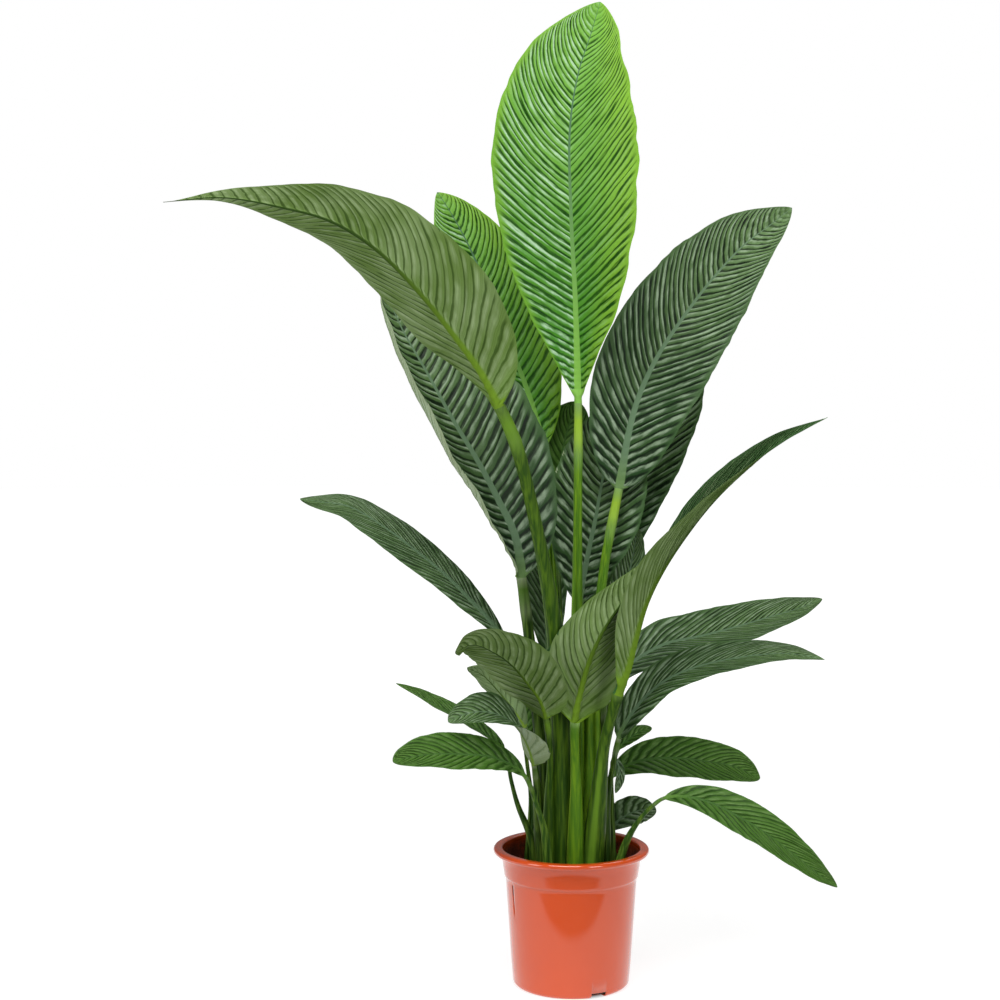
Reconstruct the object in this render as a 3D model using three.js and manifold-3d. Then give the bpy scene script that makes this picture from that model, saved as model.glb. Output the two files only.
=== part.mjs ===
// A potted peace lily of the large-leaved kind: a clump of ribbed leaves on long stalks, growing
// from a short rhizome in the potting soil of a round plastic nursery pot.
// Millimetres, +Z up. The origin is the centre of the pot's underside, and the plant's front
// faces -Y. Every leaf is one piece, its stalk and its blade together, as it grows.
import * as THREE from "three";
import { mergeVertices } from "three/addons/utils/BufferGeometryUtils.js";
import Module from "manifold-3d";

const wasm = await Module();
wasm.setup();

// The pot: a tapered tub with a wider collar and a rolled rim.
const POT_HEIGHT = 188;
const BASE_RADIUS = 79.5;
const SHOULDER_RADIUS = 89.5;
const SHOULDER_HEIGHT = 149;
const COLLAR_STEP = 1.8;
const COLLAR_RADIUS = 95.5;
const RIM_RADIUS = 106;
const RIM_DEPTH = 8;
const POT_WALL = 1.8;
const POT_SEGMENTS = 40;

// Drainage: notches through the bottom corner, and round holes in a raised ring of the floor.
const NOTCH = { count: 3, firstAngle: -64, width: 22, inward: 15, height: 7 };
const CHANNEL = { inner: 45, outer: 61, rise: 3 };
const DRAIN_HOLE = { count: 6, radius: 4.5 };

// The soil fills the pot to below the rim, and the stalks stand on it.
const SOIL_TOP = 160;
const SOIL_SEGMENTS = 32;
const FIT_GAP = 0.4;

// Leaves.
const BLADE_THICKNESS = 1.4;
const RING_SIDES = 8;
const STALK_STATIONS = 8;
const BLADE_STATIONS = 15;
const TIP_RADIUS = 0.9;

const GREEN = { bright: 0x4f9a2c, mid: 0x3f7a35, dark: 0x2c5238, pale: 0x6d8a4a };

// One row for each leaf. Points run up the leaf: base is where its stalk leaves the soil, stalk
// leads from there to the foot of the blade, and rib follows the midrib to the tip.
//   half     the blade's greatest half width
//   outline  how quickly the blade widens from its foot and narrows to its tip
//   face     the way the upper surface looks, at the foot and at the tip
//   left, right   degrees that half rises from flat at the midrib, and turns further by its margin
//   stem     the stalk's radius at the soil and at the blade's foot
const LEAVES = [
  {
    name: "leaf_top_centre",
    base: [5, 12],
    stalk: [[7, 14, 275], [8, 22, 440], [9, 32, 605], [10, 48, 790]],
    rib: [[7, 64, 925], [1, 80, 1055], [0, 95, 1170], [12, 104, 1248], [30, 108, 1304], [42, 110, 1346]],
    half: 112, outline: [1.05, 0.8], face: [[0, -1, 0.1], [0, -1, 0.3]],
    left: [14, 4], right: [34, 4], stem: [9, 5.5], green: GREEN.bright,
  },
  {
    name: "leaf_left_arching",
    base: [-14, -8],
    stalk: [[-13, -14, 280], [-16, -24, 405], [-28, -38, 516], [-51, -58, 637], [-77, -78, 740], [-98, -90, 787]],
    rib: [[-122, -105, 832], [-151, -122, 872], [-198, -148, 930], [-253, -172, 984], [-307, -194, 1016],
      [-366, -212, 1031], [-435, -228, 1041], [-504, -240, 1034]],
    half: 82, outline: [0.75, 1.75], face: [[0.45, 0.8, 0.3], [0.1, 0.82, 0.57]],
    left: [18, 0], right: [28, 0], stem: [11, 8], green: GREEN.pale,
  },
  {
    name: "leaf_back_bright",
    base: [-18, 32],
    stalk: [[-14, 50, 296], [-19, 82, 460], [-26, 112, 597], [-36, 140, 724]],
    rib: [[-54, 155, 795], [-83, 170, 873], [-114, 184, 952], [-143, 196, 1018], [-169, 205, 1066], [-188, 212, 1095]],
    half: 72, outline: [0.8, 0.8], face: [[0.2, -1, 0.2], [0.2, -1, 0.3]],
    left: [12, 0], right: [12, 0], stem: [8, 5], green: GREEN.bright,
  },
  {
    name: "leaf_left_dark",
    base: [-32, 8],
    stalk: [[-32, 6, 264], [-45, 4, 374], [-57, 4, 470], [-68, 6, 554]],
    rib: [[-78, 12, 612], [-100, 20, 659], [-127, 30, 710], [-163, 42, 770], [-198, 56, 833], [-233, 70, 894], [-260, 84, 956]],
    half: 107, outline: [0.7, 0.75], face: [[0.35, -0.9, 0.2], [0.35, -0.9, 0.3]],
    left: [16, 74], right: [6, 8], stem: [10, 7], green: GREEN.dark,
  },
  {
    name: "leaf_right_big",
    base: [22, 8],
    stalk: [[29, 10, 263], [30, 18, 372], [35, 30, 468], [47, 46, 570], [67, 62, 672]],
    rib: [[82, 74, 754], [97, 84, 803], [124, 94, 858], [159, 106, 910], [200, 118, 963], [246, 130, 1012],
      [287, 140, 1043], [316, 146, 1066]],
    half: 83, outline: [0.58, 0.8], face: [[-0.1, -1, 0.2], [-0.1, -0.9, 0.5]],
    left: [32, 0], right: [8, 4], stem: [9, 6], green: GREEN.dark,
  },
  {
    name: "leaf_right_behind",
    base: [24, 34],
    stalk: [[33, 52, 268], [40, 68, 377], [47, 84, 459], [55, 98, 528]],
    rib: [[69, 112, 605], [90, 128, 681], [119, 146, 759], [153, 164, 830], [187, 182, 888]],
    half: 65, outline: [0.95, 0.7], face: [[-0.2, -1, 0.1], [-0.2, -1, 0.3]],
    left: [10, 0], right: [10, 0], stem: [8, 5], green: GREEN.dark,
  },
  {
    name: "leaf_centre_dark",
    base: [2, 34],
    stalk: [[4, 42, 256], [7, 52, 352], [10, 62, 441], [13, 70, 510]],
    rib: [[24, 78, 572], [36, 86, 627], [47, 96, 686], [60, 108, 746], [72, 120, 795]],
    half: 68, outline: [0.8, 0.7], face: [[-0.25, -1, 0.1], [-0.25, -1, 0.3]],
    left: [8, 0], right: [10, 0], stem: [7, 5], green: GREEN.dark,
  },
  {
    name: "leaf_back_small",
    base: [-4, 60],
    stalk: [[-3, 74, 235], [-8, 100, 372], [-13, 125, 511], [-16, 138, 595]],
    rib: [[-16, 146, 652], [-11, 154, 702], [-1, 162, 749], [15, 172, 792]],
    half: 42, outline: [0.8, 0.6], face: [[0, -1, 0.2], [0, -1, 0.3]],
    left: [12, 0], right: [12, 0], stem: [6, 4], green: GREEN.mid,
  },
  {
    name: "leaf_right_back_low",
    base: [40, 20],
    stalk: [[44, 34, 244], [50, 50, 352], [59, 66, 462]],
    rib: [[70, 74, 510], [85, 84, 560], [96, 96, 617]],
    half: 22, outline: [0.8, 0.7], face: [[-0.2, -1, 0.2], [-0.2, -1, 0.3]],
    left: [12, 0], right: [12, 0], stem: [5, 3.5], green: GREEN.dark,
  },
  {
    name: "leaf_front_lobed",
    base: [4, -24],
    stalk: [[5, -34, 259], [3, -52, 368]],
    rib: [[10, -60, 409], [21, -70, 451], [39, -80, 493], [66, -80, 533], [97, -78, 572], [127, -78, 609], [153, -79, 640]],
    half: 64, outline: [0.4, 1.9], face: [[0.35, 0.9, -0.1], [0.2, 0.9, 0.2]],
    left: [60, 0], right: [8, 0], stem: [8, 6], green: GREEN.pale,
  },
  {
    name: "leaf_right_long",
    base: [27, -20],
    stalk: [[35, -32, 258], [42, -48, 336], [59, -68, 408]],
    rib: [[71, -80, 444], [79, -92, 482], [92, -108, 533], [113, -126, 580], [144, -146, 630], [175, -164, 671],
      [212, -180, 709], [253, -194, 744], [307, -208, 774]],
    half: 38, outline: [0.8, 1.1], face: [[-0.6, 0.6, 0.4], [-0.6, -1.5, 0.75]],
    left: [30, 0], right: [50, 0], stem: [10, 7], green: GREEN.pale,
  },
  {
    name: "leaf_left_mid",
    base: [-42, 22],
    stalk: [[-41, 26, 246], [-49, 32, 328], [-65, 40, 396], [-86, 48, 453]],
    rib: [[-107, 56, 485], [-139, 66, 518], [-174, 76, 552], [-217, 88, 586], [-260, 98, 617], [-310, 108, 645],
      [-352, 116, 651], [-380, 122, 655]],
    half: 31, outline: [0.8, 0.7], face: [[0.3, -0.75, 0.6], [0.1, -0.75, 0.6]],
    left: [5, 0], right: [-8, 0], stem: [6, 4.5], green: GREEN.dark,
  },
  {
    name: "leaf_left_front",
    base: [-32, -16],
    stalk: [[-31, -24, 257], [-30, -34, 320], [-36, -46, 372]],
    rib: [[-44, -58, 398], [-60, -72, 422], [-81, -90, 449], [-104, -108, 468], [-132, -126, 481], [-154, -142, 474]],
    half: 54, outline: [0.5, 0.65], face: [[0.3, 0.7, 0.6], [0.2, 0.7, 0.6]],
    left: [12, 0], right: [10, 0], stem: [6, 4], green: GREEN.pale,
  },
  {
    name: "leaf_left_grey",
    base: [-50, 0],
    stalk: [[-44, -6, 253], [-52, -14, 316], [-63, -20, 355]],
    rib: [[-81, -18, 382], [-100, -20, 405], [-120, -24, 426], [-141, -30, 437]],
    half: 27, outline: [0.7, 0.7], face: [[0.3, 0.6, 0.7], [0.1, 0.6, 0.7]],
    left: [12, 0], right: [12, 0], stem: [4, 3], green: GREEN.mid,
  },
  {
    name: "leaf_left_blue",
    base: [-40, -34],
    stalk: [[-45, -38, 212], [-48, -44, 248], [-49, -50, 280], [-52, -58, 311]],
    rib: [[-60, -67, 340], [-77, -78, 368], [-104, -90, 385], [-130, -100, 389], [-152, -108, 384], [-164, -112, 378]],
    half: 46, outline: [0.5, 0.7], face: [[0.4, 0.3, 0.6], [-0.2, -1.2, 0.75]],
    left: [15, 0], right: [15, 0], stem: [5, 3.5], green: GREEN.dark,
  },
  {
    name: "leaf_left_thin",
    base: [-47, -18],
    stalk: [[-56, -20, 207], [-73, -20, 249], [-82, -16, 282], [-90, -10, 319]],
    rib: [[-108, -4, 335], [-127, 2, 347], [-158, 10, 365], [-186, 18, 379], [-213, 26, 393], [-240, 34, 406]],
    half: 20, outline: [0.7, 0.8], face: [[0.3, -0.3, 0.9], [0.2, -0.3, 0.9]],
    left: [20, 0], right: [20, 0], stem: [4, 2.5], green: GREEN.mid,
  },
  {
    name: "leaf_left_low",
    base: [-32, -46],
    stalk: [[-38, -52, 221], [-48, -60, 257], [-63, -70, 297]],
    rib: [[-81, -80, 314], [-110, -96, 329], [-149, -114, 336], [-187, -130, 339], [-219, -142, 336], [-234, -148, 333]],
    half: 31, outline: [0.8, 0.6], face: [[0.3, -0.55, 0.85], [0, -0.55, 0.85]],
    left: [5, 0], right: [25, 0], stem: [4.5, 3], green: GREEN.mid,
  },
  {
    name: "leaf_left_stub",
    base: [-58, 14],
    stalk: [[-54, 18, 247], [-60, 24, 298], [-63, 27, 331]],
    rib: [[-63, 28, 356], [-66, 28, 377], [-73, 26, 401]],
    half: 14, outline: [0.7, 0.7], face: [[0, -1, 0.3], [0, -1, 0.3]],
    left: [12, 0], right: [12, 0], stem: [4, 2.5], green: GREEN.mid,
  },
  {
    name: "leaf_right_upper",
    base: [46, 2],
    stalk: [[45, 6, 250], [45, 12, 325], [47, 18, 388]],
    rib: [[62, 24, 417], [90, 34, 438], [131, 48, 458], [181, 62, 467], [231, 76, 478], [282, 90, 491], [325, 102, 502], [358, 110, 514]],
    half: 39, outline: [0.6, 0.7], face: [[-0.4, -0.7, 0.65], [-0.1, -0.7, 0.65]],
    left: [15, 0], right: [15, 0], stem: [5, 4], green: GREEN.dark,
  },
  {
    name: "leaf_right_second",
    base: [46, -12],
    stalk: [[48, -12, 254], [56, -16, 303], [63, -20, 340]],
    rib: [[75, -28, 366], [97, -40, 398], [126, -54, 425], [166, -72, 445], [210, -90, 458], [247, -104, 465], [284, -118, 467], [320, -130, 462]],
    half: 32, outline: [0.5, 0.8], face: [[-0.4, -0.7, 0.65], [0, -0.6, 0.75]],
    left: [15, 0], right: [15, 0], stem: [5, 3.5], green: GREEN.dark,
  },
  {
    name: "leaf_right_small",
    base: [56, 12],
    stalk: [[51, 18, 247], [57, 24, 288], [65, 28, 315]],
    rib: [[79, 30, 328], [96, 32, 339], [112, 34, 344]],
    half: 13, outline: [0.7, 0.6], face: [[-0.3, -0.5, 0.8], [0, -0.5, 0.8]],
    left: [12, 0], right: [12, 0], stem: [3.5, 2.5], green: GREEN.mid,
  },
  {
    name: "leaf_right_low",
    base: [42, 38],
    stalk: [[46, 42, 200], [50, 48, 241], [58, 52, 272]],
    rib: [[77, 56, 286], [105, 62, 294], [147, 70, 295], [190, 78, 289], [233, 84, 280], [269, 88, 263]],
    half: 37, outline: [0.7, 0.6], face: [[-0.3, -0.6, 0.75], [0.1, -0.6, 0.75]],
    left: [14, 0], right: [3, 0], stem: [4.5, 3], green: GREEN.mid,
  },
  {
    name: "leaf_right_arching",
    base: [60, -26],
    stalk: [[75, -34, 207], [90, -42, 234], [106, -50, 254], [121, -56, 266]],
    rib: [[148, -66, 270], [177, -78, 266], [211, -92, 252], [248, -108, 232], [285, -122, 206], [316, -134, 183], [337, -142, 169]],
    half: 30, outline: [0.7, 0.7], face: [[0, -0.7, 0.7], [0.4, -0.7, 0.6]],
    left: [14, 0], right: [14, 0], stem: [4, 2.5], green: GREEN.mid,
  },
  {
    name: "leaf_right_dark",
    base: [60, 34],
    stalk: [[58, 42, 182], [59, 47, 199]],
    rib: [[66, 52, 209], [91, 62, 221], [121, 72, 224]],
    half: 27, outline: [0.6, 0.6], face: [[-0.2, -0.6, 0.8], [0, -0.6, 0.8]],
    left: [12, 0], right: [12, 0], stem: [3.5, 2.5], green: GREEN.dark,
  },
  {
    name: "leaf_right_curled",
    base: [57, 4],
    stalk: [[56, 3, 250], [55, 0, 285], [56, -2, 309]],
    rib: [[60, -4, 307], [65, -6, 289], [60, -6, 262]],
    half: 8, outline: [0.7, 0.7], face: [[0.5, -0.8, 0.3], [0.5, -0.8, 0.3]],
    left: [20, 0], right: [20, 0], stem: [3, 2], green: GREEN.dark,
  },
  {
    name: "leaf_rear_left",
    base: [-26, 54],
    stalk: [[-27, 68, 250], [-27, 90, 350], [-28, 115, 425]],
    rib: [[-31, 155, 500], [-36, 205, 560], [-41, 265, 600], [-46, 325, 605], [-50, 385, 570], [-53, 430, 510]],
    half: 40, outline: [0.7, 0.8], face: [[0, -0.6, 0.8], [0, 0.3, 1]],
    left: [14, 0], right: [14, 0], stem: [6, 4], green: GREEN.dark,
  },
  {
    name: "leaf_rear_right",
    base: [32, 54],
    stalk: [[33, 70, 250], [34, 92, 350], [34, 118, 430]],
    rib: [[36, 160, 510], [38, 215, 575], [41, 275, 615], [44, 335, 620], [46, 395, 585], [48, 440, 525]],
    half: 42, outline: [0.7, 0.8], face: [[0, -0.6, 0.8], [0, 0.3, 1]],
    left: [14, 0], right: [14, 0], stem: [6, 4], green: GREEN.mid,
  },
  {
    name: "leaf_rear_low",
    base: [8, 62],
    stalk: [[8, 78, 220], [8, 100, 280], [7, 124, 326]],
    rib: [[6, 170, 385], [5, 220, 418], [4, 275, 425], [3, 330, 402], [2, 372, 360]],
    half: 32, outline: [0.7, 0.8], face: [[0, -0.6, 0.8], [0, 0.3, 1]],
    left: [14, 0], right: [14, 0], stem: [5, 3.5], green: GREEN.mid,
  },
];

const radians = THREE.MathUtils.degToRad;
const mix = THREE.MathUtils.lerp;

// A closed geometry as a manifold-3d solid.
function solidOf(geometry) {
  const bare = geometry.clone();
  bare.deleteAttribute("normal");
  bare.deleteAttribute("uv");
  const merged = mergeVertices(bare, 1e-4);
  return new wasm.Manifold(new wasm.Mesh({
    numProp: 3,
    vertProperties: merged.attributes.position.array,
    triVerts: new Uint32Array(merged.index.array),
  }));
}

// A manifold-3d solid as a geometry.
function geometryOf(solid) {
  const mesh = solid.getMesh();
  return new THREE.BufferGeometry()
    .setAttribute("position", new THREE.BufferAttribute(mesh.vertProperties, mesh.numProp))
    .setIndex(new THREE.BufferAttribute(mesh.triVerts, 1));
}

// A closed turned shape about +Z from [radius, height] pairs.
function turned(profile, segments) {
  const points = profile.map(([radius, height]) => new THREE.Vector2(radius, height));
  return new THREE.LatheGeometry(points, segments).rotateX(Math.PI / 2);
}

// The pot wall's outer radius below the collar.
function wallRadius(height) {
  return mix(BASE_RADIUS, SHOULDER_RADIUS, height / SHOULDER_HEIGHT);
}

// The pot wall's inner radius, collar included.
function boreRadius(height) {
  if (height <= SHOULDER_HEIGHT) return wallRadius(height) - POT_WALL;
  const share = (height - SHOULDER_HEIGHT) / (POT_HEIGHT - RIM_DEPTH - SHOULDER_HEIGHT);
  return mix(SHOULDER_RADIUS + COLLAR_STEP, COLLAR_RADIUS, share) - POT_WALL;
}

function potGeometry() {
  const lipFoot = POT_HEIGHT - RIM_DEPTH;
  const floorTop = POT_WALL;
  const profile = [
    [0, 0],
    [CHANNEL.inner, 0],
    [CHANNEL.inner + 1.5, CHANNEL.rise],
    [CHANNEL.outer - 1.5, CHANNEL.rise],
    [CHANNEL.outer, 0],
    [BASE_RADIUS - 3, 0],
    [wallRadius(3), 3],
    [SHOULDER_RADIUS, SHOULDER_HEIGHT],
    [SHOULDER_RADIUS + COLLAR_STEP, SHOULDER_HEIGHT + 1.5],
    [COLLAR_RADIUS, lipFoot],
    [RIM_RADIUS - 3, lipFoot],
    [RIM_RADIUS, lipFoot + RIM_DEPTH / 2],
    [RIM_RADIUS - 3, POT_HEIGHT],
    [COLLAR_RADIUS + 1, POT_HEIGHT],
    [boreRadius(lipFoot), lipFoot],
    [boreRadius(SHOULDER_HEIGHT + 1.5), SHOULDER_HEIGHT + 1.5],
    [boreRadius(SHOULDER_HEIGHT), SHOULDER_HEIGHT - 1],
    [boreRadius(floorTop + 2), floorTop + 2],
    [BASE_RADIUS - 5, floorTop],
    [CHANNEL.outer + 0.5, floorTop],
    [CHANNEL.outer - 1, CHANNEL.rise + POT_WALL],
    [CHANNEL.inner + 1, CHANNEL.rise + POT_WALL],
    [CHANNEL.inner - 0.5, floorTop],
    [0, floorTop],
  ];
  let pot = solidOf(turned(profile, POT_SEGMENTS));
  for (let i = 0; i < NOTCH.count; i++) {
    const angle = radians(NOTCH.firstAngle + (360 / NOTCH.count) * i);
    const notch = new THREE.BoxGeometry(2 * NOTCH.inward, NOTCH.width, 2 * NOTCH.height)
      .translate(BASE_RADIUS, 0, 0)
      .rotateZ(angle);
    pot = pot.subtract(solidOf(notch));
  }
  for (let i = 0; i < DRAIN_HOLE.count; i++) {
    const hole = new THREE.CylinderGeometry(DRAIN_HOLE.radius, DRAIN_HOLE.radius, 4 * POT_WALL, 12)
      .rotateX(Math.PI / 2)
      .translate((CHANNEL.inner + CHANNEL.outer) / 2, 0, CHANNEL.rise + POT_WALL / 2)
      .rotateZ(radians((360 / DRAIN_HOLE.count) * (i + 0.5)));
    pot = pot.subtract(solidOf(hole));
  }
  return geometryOf(pot);
}

function soilGeometry() {
  const bottom = CHANNEL.rise + POT_WALL + FIT_GAP;
  const profile = [
    [0, bottom],
    [boreRadius(bottom) - FIT_GAP - 1, bottom],
    [boreRadius(SHOULDER_HEIGHT - 1) - FIT_GAP - 1, SHOULDER_HEIGHT - 1],
    [boreRadius(SOIL_TOP) - FIT_GAP - 1, SOIL_TOP - 3],
    [boreRadius(SOIL_TOP) - 6, SOIL_TOP],
    [0, SOIL_TOP],
  ];
  return turned(profile, SOIL_SEGMENTS);
}

// The leaf's centreline, with its foot and tip found along its length.
function spineOf(leaf) {
  const [x, y] = leaf.base;
  const points = [[x, y, SOIL_TOP + FIT_GAP], ...leaf.stalk, ...leaf.rib];
  const curve = new THREE.CatmullRomCurve3(points.map((p) => new THREE.Vector3(...p)));
  curve.arcLengthDivisions = 400;
  const lengths = curve.getLengths();
  const footShare = leaf.stalk.length / (points.length - 1);
  const footAt = lengths[Math.round(footShare * curve.arcLengthDivisions)] / lengths.at(-1);
  return { curve, footAt };
}

// Where one station of the leaf lies, and how wide and thick the leaf is there.
function stationOf(leaf, spine, index) {
  const onStalk = index <= STALK_STATIONS;
  const up = onStalk ? index / STALK_STATIONS : 1;
  const along = onStalk ? 0 : (index - STALK_STATIONS) / BLADE_STATIONS;
  const at = onStalk ? up * spine.footAt : mix(spine.footAt, 1, along);
  const centre = spine.curve.getPointAt(at);
  const tangent = spine.curve.getTangentAt(at);
  const [footFace, tipFace] = leaf.face.map((f) => new THREE.Vector3(...f).normalize());
  const normal = footFace.lerp(tipFace, along).addScaledVector(tangent, -footFace.dot(tangent)).normalize();
  const side = new THREE.Vector3().crossVectors(tangent, normal);
  const [rise, fall] = leaf.outline;
  const widest = rise / (rise + fall);
  const width = leaf.half * (along / widest) ** rise * ((1 - along) / (1 - widest)) ** fall;
  const stem = onStalk
    ? mix(leaf.stem[0], leaf.stem[1], up ** 0.7)
    : mix(leaf.stem[1], TIP_RADIUS, along ** 0.6);
  const bladeShare = THREE.MathUtils.smoothstep(width, stem, 2.5 * stem);
  return { centre, normal, side, width, stem, bladeShare };
}

// A capped cylinder whose rings are moved to the leaf's stations: round on the stalk, and thin,
// wide and lifted at both sides of the midrib on the blade.
function leafGeometry(leaf) {
  const spine = spineOf(leaf);
  const last = STALK_STATIONS + BLADE_STATIONS;
  const stations = Array.from({ length: last + 1 }, (_, i) => stationOf(leaf, spine, i));
  const geometry = new THREE.CylinderGeometry(1, 1, 1, RING_SIDES, last);
  const position = geometry.attributes.position;
  for (let i = 0; i < position.count; i++) {
    const index = Math.round((position.getY(i) + 0.5) * last);
    const { centre, normal, side, width, stem, bladeShare } = stations[index];
    const across = position.getX(i);
    const outward = Math.sign(Math.round(across * 100));
    const round = position.getZ(i);
    const onRib = round < -0.9 ? stem : 0;
    const share = mix(Math.abs(across), across * across, bladeShare);
    const reach = Math.max(width, stem) * share;
    const height = round * mix(stem, BLADE_THICKNESS / 2 + onRib, bladeShare);
    const [lift, curl] = (outward < 0 ? leaf.left : leaf.right).map((a) => radians(a) * bladeShare);
    const turn = curl * share;
    const chord = turn > 0.01 ? (reach * Math.sin(turn / 2)) / (turn / 2) : reach;
    const angle = lift + turn / 2;
    const lean = Math.abs(outward) * (lift + turn);
    const point = centre.clone()
      .addScaledVector(side, outward * (chord * Math.cos(angle) - height * Math.sin(lean)))
      .addScaledVector(normal, chord * Math.sin(angle) + height * Math.cos(lean));
    position.setXYZ(i, point.x, point.y, index === 0 ? SOIL_TOP + FIT_GAP : point.z);
  }
  matchDiagonals(geometry.index.array, last);
  return geometry;
}

// Splits the underside's quads along the same diagonals as the upper surface's, so that both
// surfaces of a twisted blade stay parallel. The quads run up one side of the ring after another,
// and the middle four sides are the underside.
function matchDiagonals(corners, quadsPerSide) {
  for (let at = 12 * quadsPerSide; at < 36 * quadsPerSide; at += 6) {
    const [a, b, d, , c] = corners.slice(at, at + 6);
    corners.set([a, b, c, a, c, d], at);
  }
}

function piece(name, geometry, color, roughness) {
  const mesh = new THREE.Mesh(geometry, new THREE.MeshStandardMaterial({ color, roughness, metalness: 0 }));
  mesh.name = name;
  return mesh;
}

const plant = new THREE.Group();
plant.add(piece("nursery_pot", potGeometry(), 0xd0603a, 0.35));
plant.add(piece("potting_soil", soilGeometry(), 0x1d1511, 0.95));
for (const leaf of LEAVES) {
  plant.add(piece(leaf.name, leafGeometry(leaf), leaf.green, 0.4));
}

export default plant;
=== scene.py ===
"""A potted peace lily of the large-leaved kind, dressed for a plain studio picture.

Every leaf is one piece, its stalk and its ribbed blade together, as it grows. Sizes in the leaf
table are millimetres; everything that is built is in metres, with +Z up and the front at -Y.
"""

from __future__ import annotations

import logging
import math
import random
from bisect import bisect_right
from collections.abc import Callable, Sequence
from dataclasses import dataclass, field
from enum import Enum
from typing import NamedTuple

import bmesh
import bpy
from mathutils import Matrix, Vector, noise

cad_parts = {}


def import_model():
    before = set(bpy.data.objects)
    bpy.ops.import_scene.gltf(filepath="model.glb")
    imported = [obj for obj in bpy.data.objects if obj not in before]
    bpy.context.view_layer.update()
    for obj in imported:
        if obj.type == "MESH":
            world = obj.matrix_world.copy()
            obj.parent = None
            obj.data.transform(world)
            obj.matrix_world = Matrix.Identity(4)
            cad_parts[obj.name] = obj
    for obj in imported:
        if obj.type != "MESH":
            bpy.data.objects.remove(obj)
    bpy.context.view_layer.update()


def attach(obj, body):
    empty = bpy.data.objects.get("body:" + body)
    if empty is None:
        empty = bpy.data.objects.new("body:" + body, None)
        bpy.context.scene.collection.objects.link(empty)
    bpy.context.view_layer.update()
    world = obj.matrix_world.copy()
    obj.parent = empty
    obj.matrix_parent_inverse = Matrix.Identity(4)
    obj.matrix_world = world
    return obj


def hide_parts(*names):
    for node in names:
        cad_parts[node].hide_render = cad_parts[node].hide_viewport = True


LOG = logging.getLogger("peace_lily")

Pair = tuple[float, float]
Triple = tuple[float, float, float]
Colour = tuple[float, float, float, float]
Outputs = bpy.types.bpy_prop_collection
Sockets = dict[str, bpy.types.NodeSocket]

MM = 0.001
WHITE: Colour = (1.0, 1.0, 1.0, 1.0)
# The soil's top, the gap that the stalks keep above it, and the half width past which a blade
# counts as wide, in millimetres.
SOIL_TOP = 160.0
STALK_GAP = 0.4
WIDE_LEAF = 50.0
# Steps from the midrib to the margin of a wide and of a narrow blade.
WIDE_STEPS = 15
NARROW_STEPS = 10
# Points this close are one, in metres.
MERGE = 1e-7
# Fine veins between two side veins.
FINE_VEINS = 6
# How a leaf's skin takes the light.
TISSUE = {"IOR": 1.4, "Specular IOR Level": 0.16}
# The edge of a stalk's sheath, as a share of the way round it.
SHEATH_EDGE = 0.16


def linear(code: str) -> Colour:
    """Turn a display colour into the renderer's linear one.

    Args:
        code: Six hexadecimal digits, red first.

    Returns:
        The linear colour with full opacity.
    """
    parts = [int(code[i : i + 2], 16) / 255 for i in (0, 2, 4)]
    red, green, blue = (p / 12.92 if p <= 0.04045 else ((p + 0.055) / 1.055) ** 2.4 for p in parts)
    return (red, green, blue, 1.0)


def lerp(low: float, high: float, share: float) -> float:
    """Return the value a share of the way from low to high."""
    return low + (high - low) * share


def clamp(value: float, low: float = 0.0, high: float = 1.0) -> float:
    """Return the value kept between two limits."""
    return max(low, min(high, value))


def smoothstep(value: float, low: float, high: float) -> float:
    """Return 0 below low, 1 above high, and a smooth rise between them."""
    share = clamp((value - low) / (high - low))
    return share * share * (3 - 2 * share)


# --- Leaf table ---


class Tone(Enum):
    """The colour family of a leaf, which also names its material slot in the record."""

    BRIGHT = "leaf_bright"
    MID = "leaf_mid"
    DARK = "leaf_dark"
    PALE = "leaf_underside"


class Zone(Enum):
    """The parts of a leaf that have a material of their own, in slot order."""

    STALK = 0
    UPPER = 1
    UNDER = 2


@dataclass(frozen=True)
class LeafRow:
    """One leaf's measures, in millimetres and degrees.

    Attributes:
        name: The node that the leaf stands for.
        tone: Its colour family.
        base: Where its stalk stands on the soil.
        stalk: Points up the stalk, the last of them the foot of the blade.
        rib: Points along the midrib from there to the tip.
        half: The blade's greatest half width.
        outline: How quickly the blade widens from its foot and narrows to its tip.
        stem: The stalk's radius at the soil and at the blade's foot.
        face: The way the upper surface looks, at the foot and at the tip.
        left: Degrees that the left half lifts at the midrib, and turns further by its margin.
        right: The same of the right half.
        joint: Share of the stalk's height where its sheath ends and its colour changes.
        sheath: How much thicker the sheath makes the stalk near the soil.
        stalk_tone: The colour family of its stalk, where that isn't the blade's.
        vein_gap: The distance between side veins along the midrib, before a narrow blade's are
            set closer.
    """

    name: str
    tone: Tone
    base: Pair
    stalk: tuple[Triple, ...]
    rib: tuple[Triple, ...]
    half: float
    outline: Pair
    stem: Pair
    face: tuple[Triple, Triple]
    left: Pair = (12, 0)
    right: Pair = (12, 0)
    joint: float = 0.9
    sheath: float = 1.6
    stalk_tone: Tone | None = None
    vein_gap: float = 11.5


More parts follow.
